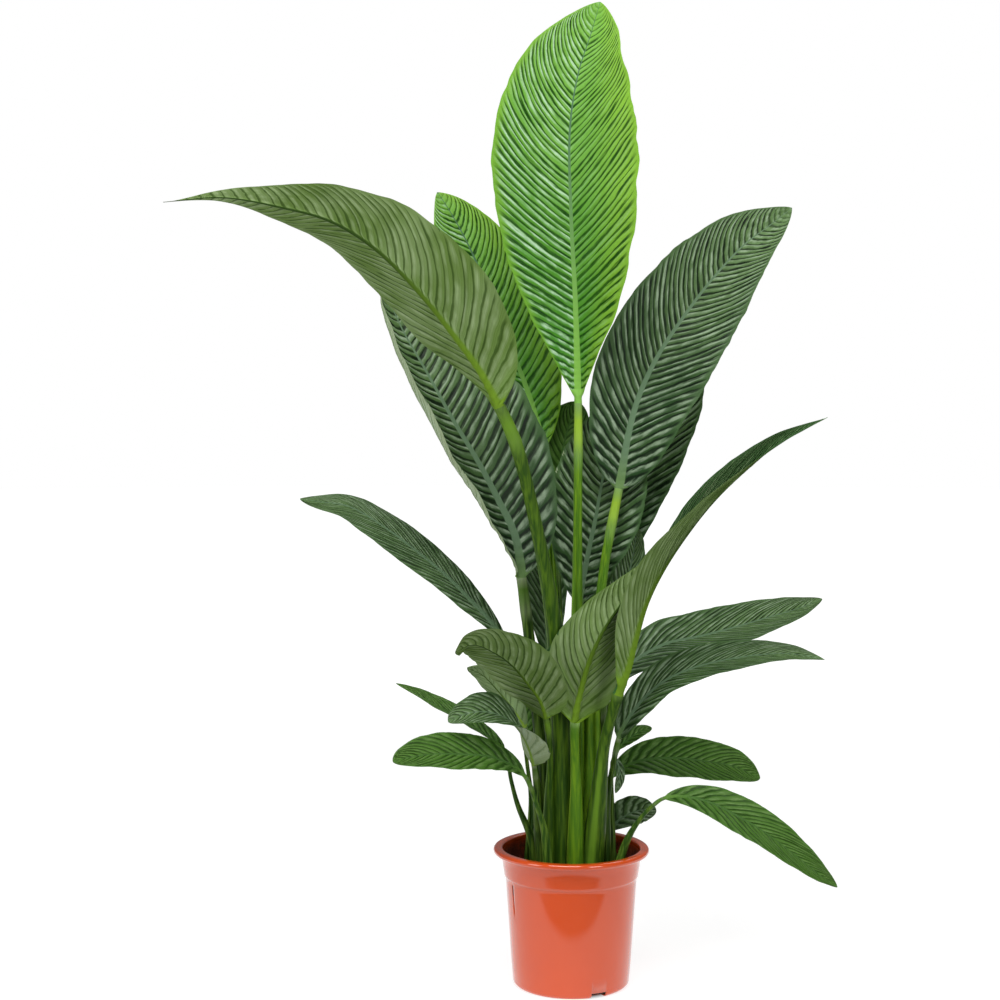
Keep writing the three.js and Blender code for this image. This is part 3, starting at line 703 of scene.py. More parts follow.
@dataclass(frozen=True)
class LeafFinish:
    """The colours of one family of leaves, as display colours.

    Attributes:
        name: A plain word for the family.
        face: The upper surface.
        groove: The painted shade in the upper surface's vein grooves.
        crest: The painted highlight on the lit flank of the bulges between, on both sides of the blade.
        tint_and_sheen: A lighter tint, the tissue's own in patches and on the midrib, and a painted sheen
            towards the tip.
        margin: The tint of the upper surface near its margin.
        midrib: The midrib on the upper surface.
        under: The underside.
        under_vein: The veins on the underside.
        rib: The midrib on the underside.
        stalk_low: The stalk near the soil.
        stalk_high: The stalk near the blade.
        roughness: The upper surface's roughness.
        tip_sheen: How far the painted sheen lightens the upper surface at the tip.
        sheen: How strongly the painted highlight lightens the crests on the left and on the right half.
        rib_reach: How far up the midrib keeps the stalk's colour, counted from 1 at the foot.
        gold: How far the right half takes on the margin's tint.
    """

    name: str
    face: str
    groove: str
    crest: str
    tint_and_sheen: str
    margin: str
    midrib: str
    under: str
    under_vein: str
    rib: str
    stalk_low: str
    stalk_high: str
    roughness: float = 0.36
    tip_sheen: float = 0.6
    sheen: Pair = (0.5, 0.4)
    rib_reach: float = 1.5
    gold: float = 0.0

    def materials(self, label: str, contrast: float) -> list[bpy.types.Material]:
        """Build the stalk, upper and underside materials, in slot order.

        Args:
            label: The leaf's size, which goes into the materials' names.
            contrast: How strongly the veins show, with the painted highlight and shade on the upper
                surface.

        Returns:
            The three materials.
        """
        name = f"{self.name} {label} leaf"
        return [self.stalk(name), self.upper(name, contrast), self.underside(name, contrast)]

    def upper(self, name: str, contrast: float) -> bpy.types.Material:
        """Build the upper surface.

        Args:
            name: The start of the material's name.
            contrast: How strongly the veins show, with their painted highlight and shade.

        Returns:
            The material.
        """
        blade = BladeSurface(f"{name} upper surface", width=0.56, wander=0.75)
        # Painted sheen: the upper surface takes on the lighter tint towards its tip.
        lighter_share = blade.ramp(blade.grow, 1.05, 1.95, 0.9 * (1 - contrast), self.tip_sheen)
        rim = blade.ramp(blade.across, 0.8, 1.0, 0.0, 0.4)
        gold = blade.ramp(blade.signed, 0.15, 0.95, 0.0, self.gold)
        # Painted highlight: the crests lighten more on one half of the blade than on the other.
        side = blade.ramp(blade.signed, -0.05, 0.05, *self.sheen)
        tip = blade.ramp(blade.grow, 1.99, 1.86, 0.35 * contrast, contrast)
        midrib = blade.coats(self.tint_and_sheen, (blade.ramp(blade.grow, 1.0, self.rib_reach), self.midrib))
        colour = blade.coats(
            self.face,
            (lighter_share, self.tint_and_sheen),
            (blade.times(blade.mottle["Patch"], 0.22), self.tint_and_sheen),
            (blade.maths("MAXIMUM", rim, gold), self.margin),
            # Painted highlight on the lit flank of each bulge between the veins.
            (blade.times(blade.veins["Crest"], side, tip), self.crest),
            # Painted shade in the vein grooves.
            (blade.times(blade.veins["Groove"], tip), self.groove),
            (blade.ramp(blade.mottle["Grain"], 0.35, 0.75, 0.0, 0.22), self.face),
            (blade.ramp(blade.rib, 0.0, 0.14), midrib),
        )
        return blade.dress(colour, rough=(self.roughness - 0.05, self.roughness + 0.12), fine=0.35)

    def underside(self, name: str, contrast: float) -> bpy.types.Material:
        """Build the underside.

        Args:
            name: The start of the material's name.
            contrast: How strongly the veins show.

        Returns:
            The material.
        """
        blade = BladeSurface(f"{name} underside", width=0.26, wander=0.4)
        patch = blade.times(blade.mottle["Patch"], 0.25)
        # Painted highlight on the lit flank of the bulges, laid on with the crest colour together with the
        # tissue's patches.
        bulge = blade.maths("MULTIPLY_ADD", blade.veins["Crest"], 0.5, patch)
        midrib = blade.coats(self.rib, (blade.ramp(blade.grow, 1.0, 1.6), self.under_vein))
        colour = blade.coats(
            self.under,
            (bulge, self.crest),
            (blade.times(blade.veins["Fine"], 0.16), self.under_vein),
            (blade.times(blade.veins["Groove"], 0.8 * contrast), self.under_vein),
            (blade.ramp(blade.grow, 1.08, 1.0, 0.0, 0.4), self.stalk_high),
            (blade.ramp(blade.rib, 0.1, 0.5), midrib),
        )
        return blade.dress(colour, rough=(0.46, 0.6), fine=0.5)

    def stalk(self, name: str) -> bpy.types.Material:
        """Build the stalk.

        Args:
            name: The start of the material's name.

        Returns:
            The material.
        """
        stalk = Surface(f"{name} stalk")
        blade, form = stalk.uv("blade"), stalk.uv("form")
        fibres = stalk.pattern("Stalk fibres", stalk_fibres, Place=stalk.place())
        edge = stalk.maths("ABSOLUTE", stalk.maths("SUBTRACT", blade["Y"], SHEATH_EDGE))
        lip = stalk.times(stalk.ramp(edge, 0.08, 0.02), stalk.ramp(form["X"], 0.8, 0.5))
        lighter_share = stalk.maths("MULTIPLY_ADD", blade["X"], 0.85, stalk.times(lip, 0.75))
        colour = stalk.coats(
            self.stalk_low,
            (stalk.times(fibres["Streak"], 0.45), self.rib),
            (lighter_share, self.stalk_high),
            (stalk.times(form["Y"], 0.6), self.under),
        )
        rough = stalk.ramp(fibres["Fine"], 0.2, 0.8, 0.36, 0.52)
        bump = {"Height": fibres["Fine"], "Distance": 0.3 * MM, "Strength": 0.6}
        return stalk.finish({"Base Color": colour, "Roughness": rough, **TISSUE}, bump)


# In each family the crest colour is a painted highlight, the groove colour painted shade, and the lighter
# tint towards the tip a painted sheen.
FINISHES: dict[Tone, LeafFinish] = {
    Tone.BRIGHT: LeafFinish(
        "bright", face="3a7c16", groove="0b3602", crest="b4d2b2", tint_and_sheen="78ac46", margin="86b436",
        midrib="4c6f50", under="86a468", under_vein="4c6e2c", rib="7fa51f",
        stalk_low="4a7419", stalk_high="8fb234", tip_sheen=0.85, sheen=(0.85, 0.15), rib_reach=1.75,
        gold=0.7,
    ),
    Tone.MID: LeafFinish(
        "middle green", face="345a1a", groove="122b06", crest="8ca86c", tint_and_sheen="587f34", margin="527a32",
        midrib="44682f", under="7c9466", under_vein="3d561f", rib="7a9a35",
        stalk_low="294a14", stalk_high="4c7426", sheen=(0.45, 0.3), rib_reach=1.2,
    ),
    Tone.DARK: LeafFinish(
        "dark", face="25411f", groove="061406", crest="a8bca0", tint_and_sheen="5f7d49", margin="4a683e",
        midrib="5c7658", under="93a37c", under_vein="55703e", rib="6f8f35",
        stalk_low="1f380c", stalk_high="45651f", tip_sheen=0.8, sheen=(0.7, 0.6), rib_reach=1.12,
    ),
    Tone.PALE: LeafFinish(
        "pale backed", face="213f1b", groove="0a1f08", crest="9db183", tint_and_sheen="3b6130", margin="3a5c2e",
        midrib="64875a", under="5d7838", under_vein="27400a", rib="64851f",
        stalk_low="28450d", stalk_high="648a26",
    ),
}


# --- Leaves ---


class Spine:
    """A smooth line through points, with its place and direction at any share of its length."""

    STEPS = 24

    def __init__(self, points: Sequence[Vector], foot: int) -> None:
        """Sample the line.

        Args:
            points: The points that the line passes through.
            foot: The point at the foot of the blade, by number.
        """
        first = points[0] * 2 - points[1]
        last = points[-1] * 2 - points[-2]
        padded = [first, *points, last]
        spans = len(points) - 1
        self.places: list[Vector] = []
        self.ways: list[Vector] = []
        for span in range(spans):
            stretch = self._stretch(*padded[span : span + 4])
            for step in range(self.STEPS + (span == spans - 1)):
                place, way = stretch(step / self.STEPS)
                self.places.append(place)
                self.ways.append(way.normalized())
        self.lengths = [0.0]
        for here, there in zip(self.places, self.places[1:]):
            self.lengths.append(self.lengths[-1] + (there - here).length)
        self.total = self.lengths[-1]
        self.foot = self.lengths[foot * self.STEPS] / self.total

    @staticmethod
    def _stretch(
        p0: Vector, p1: Vector, p2: Vector, p3: Vector
    ) -> Callable[[float], tuple[Vector, Vector]]:
        """Draw one stretch of a centripetal Catmull-Rom line.

        Args:
            p0: The point before the stretch.
            p1: The point where it starts.
            p2: The point where it ends.
            p3: The point after it.

        Returns:
            What gives the place and direction at a share of the stretch.
        """
        gap0, gap1, gap2 = ((b - a).length ** 0.5 for a, b in ((p0, p1), (p1, p2), (p2, p3)))
        start = ((p1 - p0) / gap0 - (p2 - p0) / (gap0 + gap1) + (p2 - p1) / gap1) * gap1
        end = ((p2 - p1) / gap1 - (p3 - p1) / (gap1 + gap2) + (p3 - p2) / gap2) * gap1
        square = (p2 - p1) * 3 - start * 2 - end
        cube = (p1 - p2) * 2 + start + end

        def at(t: float) -> tuple[Vector, Vector]:
            """Return the place and direction at a share of the stretch."""
            return p1 + start * t + square * t**2 + cube * t**3, start + square * 2 * t + cube * 3 * t**2

        return at

    def at(self, share: float) -> tuple[Vector, Vector]:
        """Find a place on the line.

        Args:
            share: The share of the whole length.

        Returns:
            The place and the direction there.
        """
        length = clamp(share) * self.total
        index = min(bisect_right(self.lengths, length), len(self.lengths) - 1)
        before, after = self.lengths[index - 1], self.lengths[index]
        part = (length - before) / (after - before) if after > before else 0.0
        place = self.places[index - 1].lerp(self.places[index], part)
        return place, self.ways[index - 1].lerp(self.ways[index], part).normalized()


class Spot(NamedTuple):
    """A place on a leaf, before its fold and its centreline are known.

    Attributes:
        up: Share up the stalk.
        along: Share along the blade.
        half: -1 on the left half and 1 on the right.
        face: 1 on the upper surface and -1 underneath.
        share: Share of the steps from the midrib to the margin.
        near: Share of the width.
        width: The blade's half width there.
        stem: The stalk's or midrib's radius there.
        flat: 0 where the leaf is a round stalk and 1 where it is a blade.
        reach: Distance from the centreline, along the surface.
    """

    up: float
    along: float
    half: int
    face: int
    share: float
    near: float
    width: float
    stem: float
    flat: float
    reach: float


@dataclass
class Leaf:
    """One leaf: a grooved stalk that flattens into a folded, ribbed blade, in metres.

    Attributes:
        row: The leaf's measures.
        thickness: The blade's thickness.
        sink: How far the stalk goes down into the soil.
        tip_radius: The midrib's radius at the tip.
        stalk_rows: Rows of faces along the stalk.
        rim_step: The step from the midrib where the blade's plain surface starts.
        vein_steps: Shares of a vein's spacing at which the blade has a row of points.
        margin: The margin's unevenness, as shares of the width with their pace and offset.
        bulge: The ridges' height, as a share of the veins' spacing.
        flutter: The margin's waves, as a share of the greatest half width.
        drift: How unevenly the side veins are spaced, as a share of their spacing.
        spine: The centreline.
        seed: The leaf's own number, for its unevenness.
        across: Steps from the midrib to the margin.
        veins: How many side veins each half has.
        ridge: How far the surface bulges between two veins.
        wave: How far the margin waves.
        sweep: How far a side vein has run towards the tip by the widest margin, as a share of
            the blade's length.
        widest: The share along the blade where it is widest.
    """

    row: LeafRow
    thickness: float = 0.8 * MM
    sink: float = 8 * MM
    tip_radius: float = 0.35 * MM
    stalk_rows: int = 26
    rim_step: int = 3
    vein_steps: tuple[float, ...] = (0.0, 0.1, 0.27, 0.5, 0.73, 0.9)
    margin: tuple[Triple, ...] = ((0.035, 13, 3.0), (0.014, 37, 7.0))
    bulge: float = 0.12
    flutter: float = 0.035
    drift: float = 0.34
    spine: Spine = field(init=False)
    seed: float = field(init=False)
    across: int = field(init=False)
    veins: int = field(init=False)
    ridge: float = field(init=False)
    wave: float = field(init=False)
    sweep: float = field(init=False)
    widest: float = field(init=False)

    def __post_init__(self) -> None:
        """Work out what follows from the leaf's measures."""
        row = self.row
        soil = SOIL_TOP + STALK_GAP
        points = [Vector((*row.base, soil)), *map(Vector, row.stalk), *map(Vector, row.rib)]
        self.spine = Spine([p * MM for p in points], len(row.stalk))
        self.seed = float(sum(map(ord, row.name)) % 97)
        self.across = WIDE_STEPS if row.half > WIDE_LEAF else NARROW_STEPS
        spacing = row.vein_gap * lerp(0.75, 1.0, smoothstep(row.half, 12, 40)) * MM
        self.veins = round(self.spine.total * (1 - self.spine.foot) / spacing)
        self.ridge = spacing * self.bulge
        self.wave = row.half * MM * self.flutter
        self.sweep = lerp(0.34, 0.2, smoothstep(row.half, 30, 80))
        rise, fall = row.outline
        self.widest = rise / (rise + fall)

    def plain_width(self, along: float) -> float:
        """Return the blade's even half width at a share of its length."""
        rise, fall = self.row.outline
        share = (along / self.widest) ** rise * ((1 - along) / (1 - self.widest)) ** fall
        return self.row.half * MM * share

    def width(self, along: float, half: int) -> float:
        """Return the half width with its unevenness.

        Args:
            along: Share along the blade.
            half: -1 for the left half and 1 for the right.

        Returns:
            The width, which is 0 at both ends.
        """
        width = self.plain_width(along) if 0 < along < 1 else 0.0
        for size, pace, offset in self.margin:
            width *= 1 + size * noise.noise(Vector((along * pace, self.seed, half * offset)))
        return width

    def stem(self, up: float, along: float) -> float:
        """Return the stalk's or midrib's radius.

        Args:
            up: Share up the stalk.
            along: Share along the blade.

        Returns:
            The radius, which swells at the joint below the blade.
        """
        low, high = (r * MM for r in self.row.stem)
        if along > 0:
            return lerp(high, self.tip_radius, along**0.6)
        swell = 0.12 * math.exp(-(((up - self.row.joint) / 0.03) ** 2))
        sheath = lerp(self.row.sheath, 1.0, smoothstep(up, 0.2, 0.75))
        return lerp(low, high, up**0.7) * (sheath + swell)

    def rows(self) -> list[Triple]:
        """List the rows of points from the stalk's foot to the tip.

        Returns:
            For each row its share up the stalk, its share along the blade and its vein count.
        """
        rows = [(i / self.stalk_rows, 0.0, 0.0) for i in range(self.stalk_rows)]
        for vein in range(self.veins):
            for step in self.vein_steps:
                phase = vein + step
                uneven = self.drift * noise.noise(Vector((phase * 0.9, self.seed, 0.0)))
                rows.append((1.0, clamp((phase + uneven) / self.veins, 0.0, 0.999), phase))
        rows.append((1.0, 1.0, float(self.veins)))
        return rows

    def column(self, index: int) -> tuple[int, int, int]:
        """Describe a place round the leaf.

        Args:
            index: Its number round the ring, from the middle of the underside by the right margin.

        Returns:
            The half it is on (-1 left, 1 right), its step from the midrib, and 1 on the upper
            surface or -1 underneath.
        """
        steps = self.across
        quarter, part = divmod(index % (4 * steps), steps)
        if quarter == 0:
            return 1, part, -1
        if quarter == 1:
            return 1, steps - part, 1
        if quarter == 2:
            return (-1 if part else 1), part, 1
        return -1, steps - part, -1

    def spot(self, row: Triple, column: tuple[int, int, int]) -> Spot:
        """Spread a place on the grid over the stalk or the blade.

        Args:
            row: Its share up the stalk, its share along the midrib and its vein count.
            column: Its half, its step from the midrib and its surface, as column() gives them.

        Returns:
            The spot.
        """
        up, along, _ = row
        half, step, face = column
        share = step / self.across
        if along > 0:
            swept = share * self.plain_width(along) / (self.row.half * MM)
            along = min(along + self.sweep * swept**1.4, 0.9995 if along < 1 else 1.0)
        width, stem = self.width(along, half), self.stem(up, along)
        flat = smoothstep(width, stem, 2.5 * stem)
        zone = min(1.4 * stem, 0.35 * width) / width if width else share
        if step <= self.rim_step:
            near = zone * step / self.rim_step
        else:
            near = lerp(zone, 1.0, (step - self.rim_step) / (self.across - self.rim_step))
        reach = max(width, stem) * lerp(math.sin(math.radians(90 * share)), near, flat)
        return Spot(up, along, half, face, share, near, width, stem, flat, reach)

    def plain_height(self, spot: Spot) -> float:
        """Return how far a spot on the even stalk or blade is above the leaf's middle.

        Args:
            spot: The spot.

        Returns:
            The height, towards the upper surface.
        """
        edge = math.sqrt(max(0.0, 1 - spot.near**6))
        rib = math.sqrt(max(0.0, 1 - clamp(spot.reach / spot.stem) ** 2))
        groove, raised = 0.0, rib
        if spot.face > 0:
            groove = 0.45 * math.exp(-((spot.share / 0.22) ** 2)) * smoothstep(spot.up, 1.0, 0.8)
            raised = 0.35 * rib**2
        rounded = spot.stem * (math.cos(math.radians(90 * spot.share)) - groove)
        return lerp(rounded, self.thickness / 2 * edge + spot.stem * raised, spot.flat) * spot.face

    def relief(self, spot: Spot, phase: float) -> float:
        """Return how far the blade stands off its plain fold.

        Args:
            spot: The spot.
            phase: The vein count there.

        Returns:
            The height of the bulges and waves, towards the upper surface.
        """
        near, half = spot.near, spot.half
        fullness = clamp(spot.width / (0.4 * self.row.half * MM))
        belly = abs(math.sin(math.pi * phase)) ** 0.7 - 0.45
        patch = 0.85 + 0.9 * noise.noise(Vector((math.floor(phase) * 0.73, near * 2.5, self.seed + half)))
        shape = smoothstep(near, 0.0, 0.1) * smoothstep(near, 1.0, 0.75)
        ridges = self.ridge * belly * patch * shape * fullness
        swing = noise.noise(Vector((spot.along * 6.5, self.seed * 1.7, half * 5.0)))
        ripple = noise.noise(Vector((spot.along * 19, self.seed * 2.3, half * 4.0)))
        return ridges + self.wave * near**2 * fullness * (2.2 * swing + 0.7 * ripple)

    def folded(self, spot: Spot, height: float) -> Vector:
        """Put a spot where the blade's fold and the leaf's centreline take it.

        Args:
            spot: The spot.
            height: How far it is above the leaf's middle.

        Returns:
            The place.
        """
        _, along, half, _, _, near, _, stem, flat, reach = spot
        lift, curl = (math.radians(a) * flat for a in (self.row.left if half < 0 else self.row.right))
        turn = curl * near
        chord = reach * math.sin(turn / 2) / (turn / 2) if turn > 0.01 else reach
        lean = (lift + turn) * smoothstep(reach, 0.0, stem)
        tilt = lift + turn / 2
        foot = self.spine.foot
        place, way = self.spine.at(foot * spot.up if along == 0 else lerp(foot, 1.0, along))
        foot_face, tip_face = (Vector(f).normalized() for f in self.row.face)
        normal = (foot_face.lerp(tip_face, along) - way * way.dot(foot_face)).normalized()
        place = place + way.cross(normal) * (half * (chord * math.cos(tilt) - height * math.sin(lean)))
        return place + normal * (chord * math.sin(tilt) + height * math.cos(lean))

    def build(self) -> bpy.types.Object:
        """Make the leaf.

        Returns:
            The closed mesh object, with its stalk, upper and underside material slots.
        """
        rows = self.rows()
        ring = 4 * self.across
        bm = bmesh.new()
        bmesh.ops.create_grid(bm, x_segments=len(rows) - 1, y_segments=ring, size=1.0)
        maps = [bm.loops.layers.uv.new(name) for name in ("blade", "form")]
        grid: dict[bmesh.types.BMVert, tuple[int, int]] = {}
        data: dict[tuple[int, int], tuple[Pair, Pair]] = {}
        for vert in bm.verts:
            line = round((vert.co.x + 1) / 2 * (len(rows) - 1))
            index = round((vert.co.y + 1) / 2 * ring)
            spot = self.spot(rows[line], self.column(index))
            up, along, phase = rows[line]
            vert.co = self.folded(spot, self.plain_height(spot) + self.relief(spot, phase) * spot.flat)
            if line == 0:
                vert.co.z = SOIL_TOP * MM - self.sink
            grid[vert] = (line, index)
            if line < self.stalk_rows:
                data[line, index] = self._stalk_maps(up, index / ring)
            else:
                closeness = lerp(1.0, clamp(1 - spot.reach / (1.15 * spot.stem)), spot.flat)
                data[line, index] = (phase, spot.near * spot.half), (1 + along, closeness)
        for face in bm.faces:
            lines, indexes = zip(*(grid[v] for v in face.verts))
            above = self.across <= min(indexes) < 3 * self.across
            zone = Zone.STALK if min(lines) < self.stalk_rows else Zone.UPPER if above else Zone.UNDER
            face.material_index = zone.value
            for loop in face.loops:
                for layer, pair in zip(maps, data[grid[loop.vert]]):
                    loop[layer].uv = pair
        seam = [v for v, (_, index) in grid.items() if index in (0, ring)]
        bmesh.ops.remove_doubles(bm, verts=seam, dist=MERGE)
        bmesh.ops.holes_fill(bm, edges=[e for e in bm.edges if e.is_boundary], sides=0)
        bmesh.ops.recalc_face_normals(bm, faces=bm.faces)
        return finished(bm, f"{self.row.name}_plant", 75.0)

    def _stalk_maps(self, up: float, around: float) -> tuple[Pair, Pair]:
        """Return the stalk's coordinates.

        Args:
            up: Share up the stalk.
            around: Share of the way round it.

        Returns:
            Whether the place is above the joint, with around; and up, with how near the joint is.
        """
        joint = self.row.joint
        above = smoothstep(up, joint - 0.02, joint + 0.02)
        return (above, around), (up, math.exp(-(((up - joint) / 0.018) ** 2)))

    def dress(self, piece: bpy.types.Object, materials: Sequence[bpy.types.Material]) -> None:
        """Give the leaf its materials and tie it to its node.

        Args:
            piece: The leaf's object.
            materials: The materials, in slot order.
        """
        for material in materials:
            piece.data.materials.append(material)
        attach(piece, "root")
        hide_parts(self.row.name)


# --- Pot and soil ---


@dataclass(frozen=True)
class PlasticFinish:
    """Smooth coloured plastic with soil stains on its inside.

    Attributes:
        colour: The plastic's display colour.
        shade: A slightly deeper tint that clouds it.
        stain: The dried soil on the inner wall.
        rough: The plastic's lowest and highest roughness.
        gloss: The shader's settings for its clear, shiny skin.
    """

    colour: str = "cf4a12"
    shade: str = "c5420e"
    stain: str = "2c1009"
    rough: Pair = (0.07, 0.12)
    gloss: tuple[tuple[str, float], ...] = (("IOR", 1.5), ("Coat Weight", 0.55), ("Coat Roughness", 0.04))

    def outer(self) -> bpy.types.Material:
        """Build the clean plastic."""
        return self._build("orange pot plastic", 0.0)

    def inner(self) -> bpy.types.Material:
        """Build the plastic with soil dried onto it."""
        return self._build("stained pot plastic", 0.85)

    def _build(self, name: str, stained: float) -> bpy.types.Material:
        """Build one state of the plastic.

        Args:
            name: The material's name.
            stained: How strongly the soil stain covers it.

        Returns:
            The material.
        """
        plastic = Surface(name)
        place = plastic.place()
        cloud = plastic.ramp(plastic.noise(place, 18.0, 3.0), 0.3, 0.8, 0.0, 0.3)
        colour = plastic.coats(self.colour, (cloud, self.shade))
        rough = plastic.ramp(plastic.noise(place, 60.0, 4.0), 0.25, 0.8, *self.rough)
        if stained:
            low = plastic.ramp(plastic.parts(place)["Z"], Pot.height - 0.001, Pot.height - 0.016)
            speck = plastic.ramp(plastic.noise(place, 120.0, 5.0, 0.7), 0.3, 0.6, 0.6, 1.0)
            dirt = plastic.times(low, speck, stained)
            colour = plastic.coats(colour, (dirt, self.stain))
            rough = plastic.maths("MAXIMUM", rough, dirt)
        peel = {"Height": plastic.noise(place, 240.0, 2.0), "Distance": 0.2 * MM, "Strength": 0.2}
        return plastic.finish({"Base Color": colour, "Roughness": rough, **dict(self.gloss)}, peel)


@dataclass
class Pot:
    """The round nursery pot: a tapered tub with a collar and a rolled rim, in metres.

    Attributes:
        height: From the floor to the top of the rim.
        wall: Wall thickness.
        base: Radius of the underside, before its rounded corner.
        shoulder: Radius and height at the foot of the collar.
        step: How far the collar stands out there.
        collar: Radius of the collar under the rim.
        rim: Outer radius of the rim.
        rim_bore: Inner radius of the rim.
        rim_depth: Depth of the rolled rim.
        corner: Radius of the bottom corner.
        channel: Inner and outer radius of the raised drainage ring.
        channel_rise: How far that ring is raised.
        drains: How many round holes the ring has.
        drain_radius: Their radius.
        notches: How many gaps the bottom edge has.
        notch: The size of the box that cuts one.
        mark: The size of the box that cuts the narrow moulding mark on the body's side.
        mark_height: The middle of that mark.
        steps: Segments of the full turn.
    """

    height: float = 0.188
    wall: float = 0.0018
    base: float = 0.0795
    shoulder: Pair = (0.0895, 0.149)
    step: float = 0.0018
    collar: float = 0.0955
    rim: float = 0.106
    rim_bore: float = 0.0938
    rim_depth: float = 0.008
    corner: float = 0.007
    channel: Pair = (0.045, 0.061)
    channel_rise: float = 0.003
    drains: int = 6
    drain_radius: float = 0.0045
    notches: int = 3
    notch: Triple = (0.030, 0.022, 0.0155)
    mark: Triple = (0.004, 0.0036, 0.019)
    mark_height: float = 0.1345
    steps: int = 160

    def profile(self) -> list[Pair]:
        """List the pot's section.

        Returns:
            Pairs of radius and height, from the middle of the underside round to the inner floor.
        """
        foot = self.height - self.rim_depth
        curl = self.rim_depth / 2
        inner, outer = self.channel
        rise, wall = self.channel_rise, self.wall
        shoulder, at = self.shoulder
        slope = (shoulder - self.base) / at
        corner = self.corner
        ledge = shoulder + self.step
        outside = [
            (0.0, 0.0),
            (inner - 0.001, 0.0),
            (inner + 0.0015, rise),
            (outer - 0.0015, rise),
            (outer + 0.001, 0.0),
            *arc((self.base - corner, corner), corner, -90, -3, 8),
            (self.base + slope * 0.03, 0.03),
            (self.base + slope * 0.09, 0.09),
            (shoulder - slope * 0.006, at - 0.006),
            (shoulder - 0.0002, at - 0.0008),
            (shoulder + 0.0003, at),
            (ledge - 0.0005, at + 0.0006),
            (ledge, at + 0.0014),
            (ledge + 0.0003, at + 0.004),
            (lerp(ledge, self.collar, 0.55), lerp(at, foot, 0.55)),
            (self.collar - 0.0002, foot - 0.002),
            (self.collar + 0.0012, foot + 0.0002),
            (self.rim - curl - 0.0012, foot + 0.0004),
        ]
        rolled = arc((self.rim - curl, foot + curl), curl, -80, 90, 14)
        mouth = [
            (self.collar + 0.002, self.height - 0.0001),
            *arc((self.rim_bore + 0.002, self.height - 0.0026), 0.0024, 90, 180, 6),
        ]
        inside = [
            (self.collar - wall, foot - 0.003),
            (ledge - wall + 0.0004, at + 0.003),
            (shoulder - wall, at - 0.002),
            (self.base + slope * 0.04 - wall, 0.04),
            *reversed(arc((self.base - corner, corner), corner - wall, -90, -3, 6)),
            (outer + 0.001, wall),
            (outer - 0.0012, rise + wall),
            (inner + 0.0012, rise + wall),
            (inner - 0.001, wall),
            (0.0, wall),
        ]
        return outside + rolled + mouth + inside

    def _block(self, size: Triple, place: Triple, turn: float) -> bpy.types.Object:
        """Make a box to cut with.

        Args:
            size: Its size.
            place: Its middle, before it is turned.
            turn: Degrees that it is then turned about the pot's axis.

        Returns:
            The box.
        """
        bm = bmesh.new()
        bmesh.ops.create_cube(bm, size=1.0)
        bmesh.ops.scale(bm, verts=bm.verts, vec=size)
        return self._cutter(bm, place, turn)

    def _drill(self, turn: float) -> bpy.types.Object:
        """Make a cylinder to cut one drain hole with.

        Args:
            turn: The hole's place round the pot, in degrees.

        Returns:
            The cylinder.
        """
        bm = bmesh.new()
        bmesh.ops.create_cone(
            bm,
            cap_ends=True,
            segments=24,
            radius1=self.drain_radius,
            radius2=self.drain_radius,
            depth=4 * self.wall,
        )
        return self._cutter(bm, (sum(self.channel) / 2, 0, self.channel_rise + self.wall / 2), turn)

    @staticmethod
    def _cutter(bm: bmesh.types.BMesh, place: Triple, turn: float) -> bpy.types.Object:
        """Move a cutter to its place, turn it about the pot's axis, and make it an object."""
        bmesh.ops.translate(bm, verts=bm.verts, vec=place)
        bmesh.ops.rotate(bm, verts=bm.verts, matrix=Matrix.Rotation(math.radians(turn), 3, "Z"))
        return finished(bm, "cutter")

    def build(self) -> bpy.types.Object:
        """Make the pot.

        Returns:
            The closed pot with its drain notches, holes and moulding mark.
        """
        piece = finished(spun(self.profile(), self.steps), "pot_body", 30.0)
        gap, drain_gap = 360 / self.notches, 360 / self.drains
        cutters = [self._block(self.notch, (self.base, 0, 0), -64 + gap * i) for i in range(self.notches)]
        cutters += [self._drill(drain_gap * (i + 0.5)) for i in range(self.drains)]
        cutters.append(self._block(self.mark, (self.shoulder[0] - 0.0006, 0, self.mark_height), -154))
        carve(piece, cutters)
        return piece

    def dress(self, piece: bpy.types.Object) -> None:
        """Give the pot its plastic and tie it to its node.

        Args:
            piece: The pot's object.
        """
        finish = PlasticFinish()
        piece.data.materials.clear()
        for material in (finish.outer(), finish.inner()):
            piece.data.materials.append(material)
        for face in piece.data.polygons:
            outward = Vector((face.center.x, face.center.y, 0.0)).normalized()
            faces_in = face.normal.dot(outward) < -0.3
            face.material_index = int(faces_in and face.center.z > self.channel_rise + self.wall)
        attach(piece, "root")
        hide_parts("nursery_pot")


@dataclass(frozen=True)
class SoilFinish:
    """Dark, damp peat.

    Attributes:
        wet: The darkest crumbs.
        dry: The lighter crumbs.
        rough: The lowest and highest roughness.
    """

    wet: str = "140e0a"
    dry: str = "3b2a1e"
    rough: Pair = (0.75, 0.98)

    def material(self) -> bpy.types.Material:
        """Build the peat.

        Returns:
            The material.
        """
        peat = Surface("dark potting soil")
        place = peat.place()
        crumbs = peat.noise(place, 190.0, 6.0, 0.7)
        share = peat.ramp(peat.times(crumbs, peat.noise(place, 30.0, 3.0)), 0.15, 0.42)
        colour = peat.coats(self.wet, (share, self.dry))
        inputs = {"Base Color": colour, "Roughness": peat.ramp(crumbs, 0.3, 0.7, *self.rough)}
        return peat.finish(inputs, {"Height": crumbs, "Distance": 2 * MM, "Strength": 0.9})


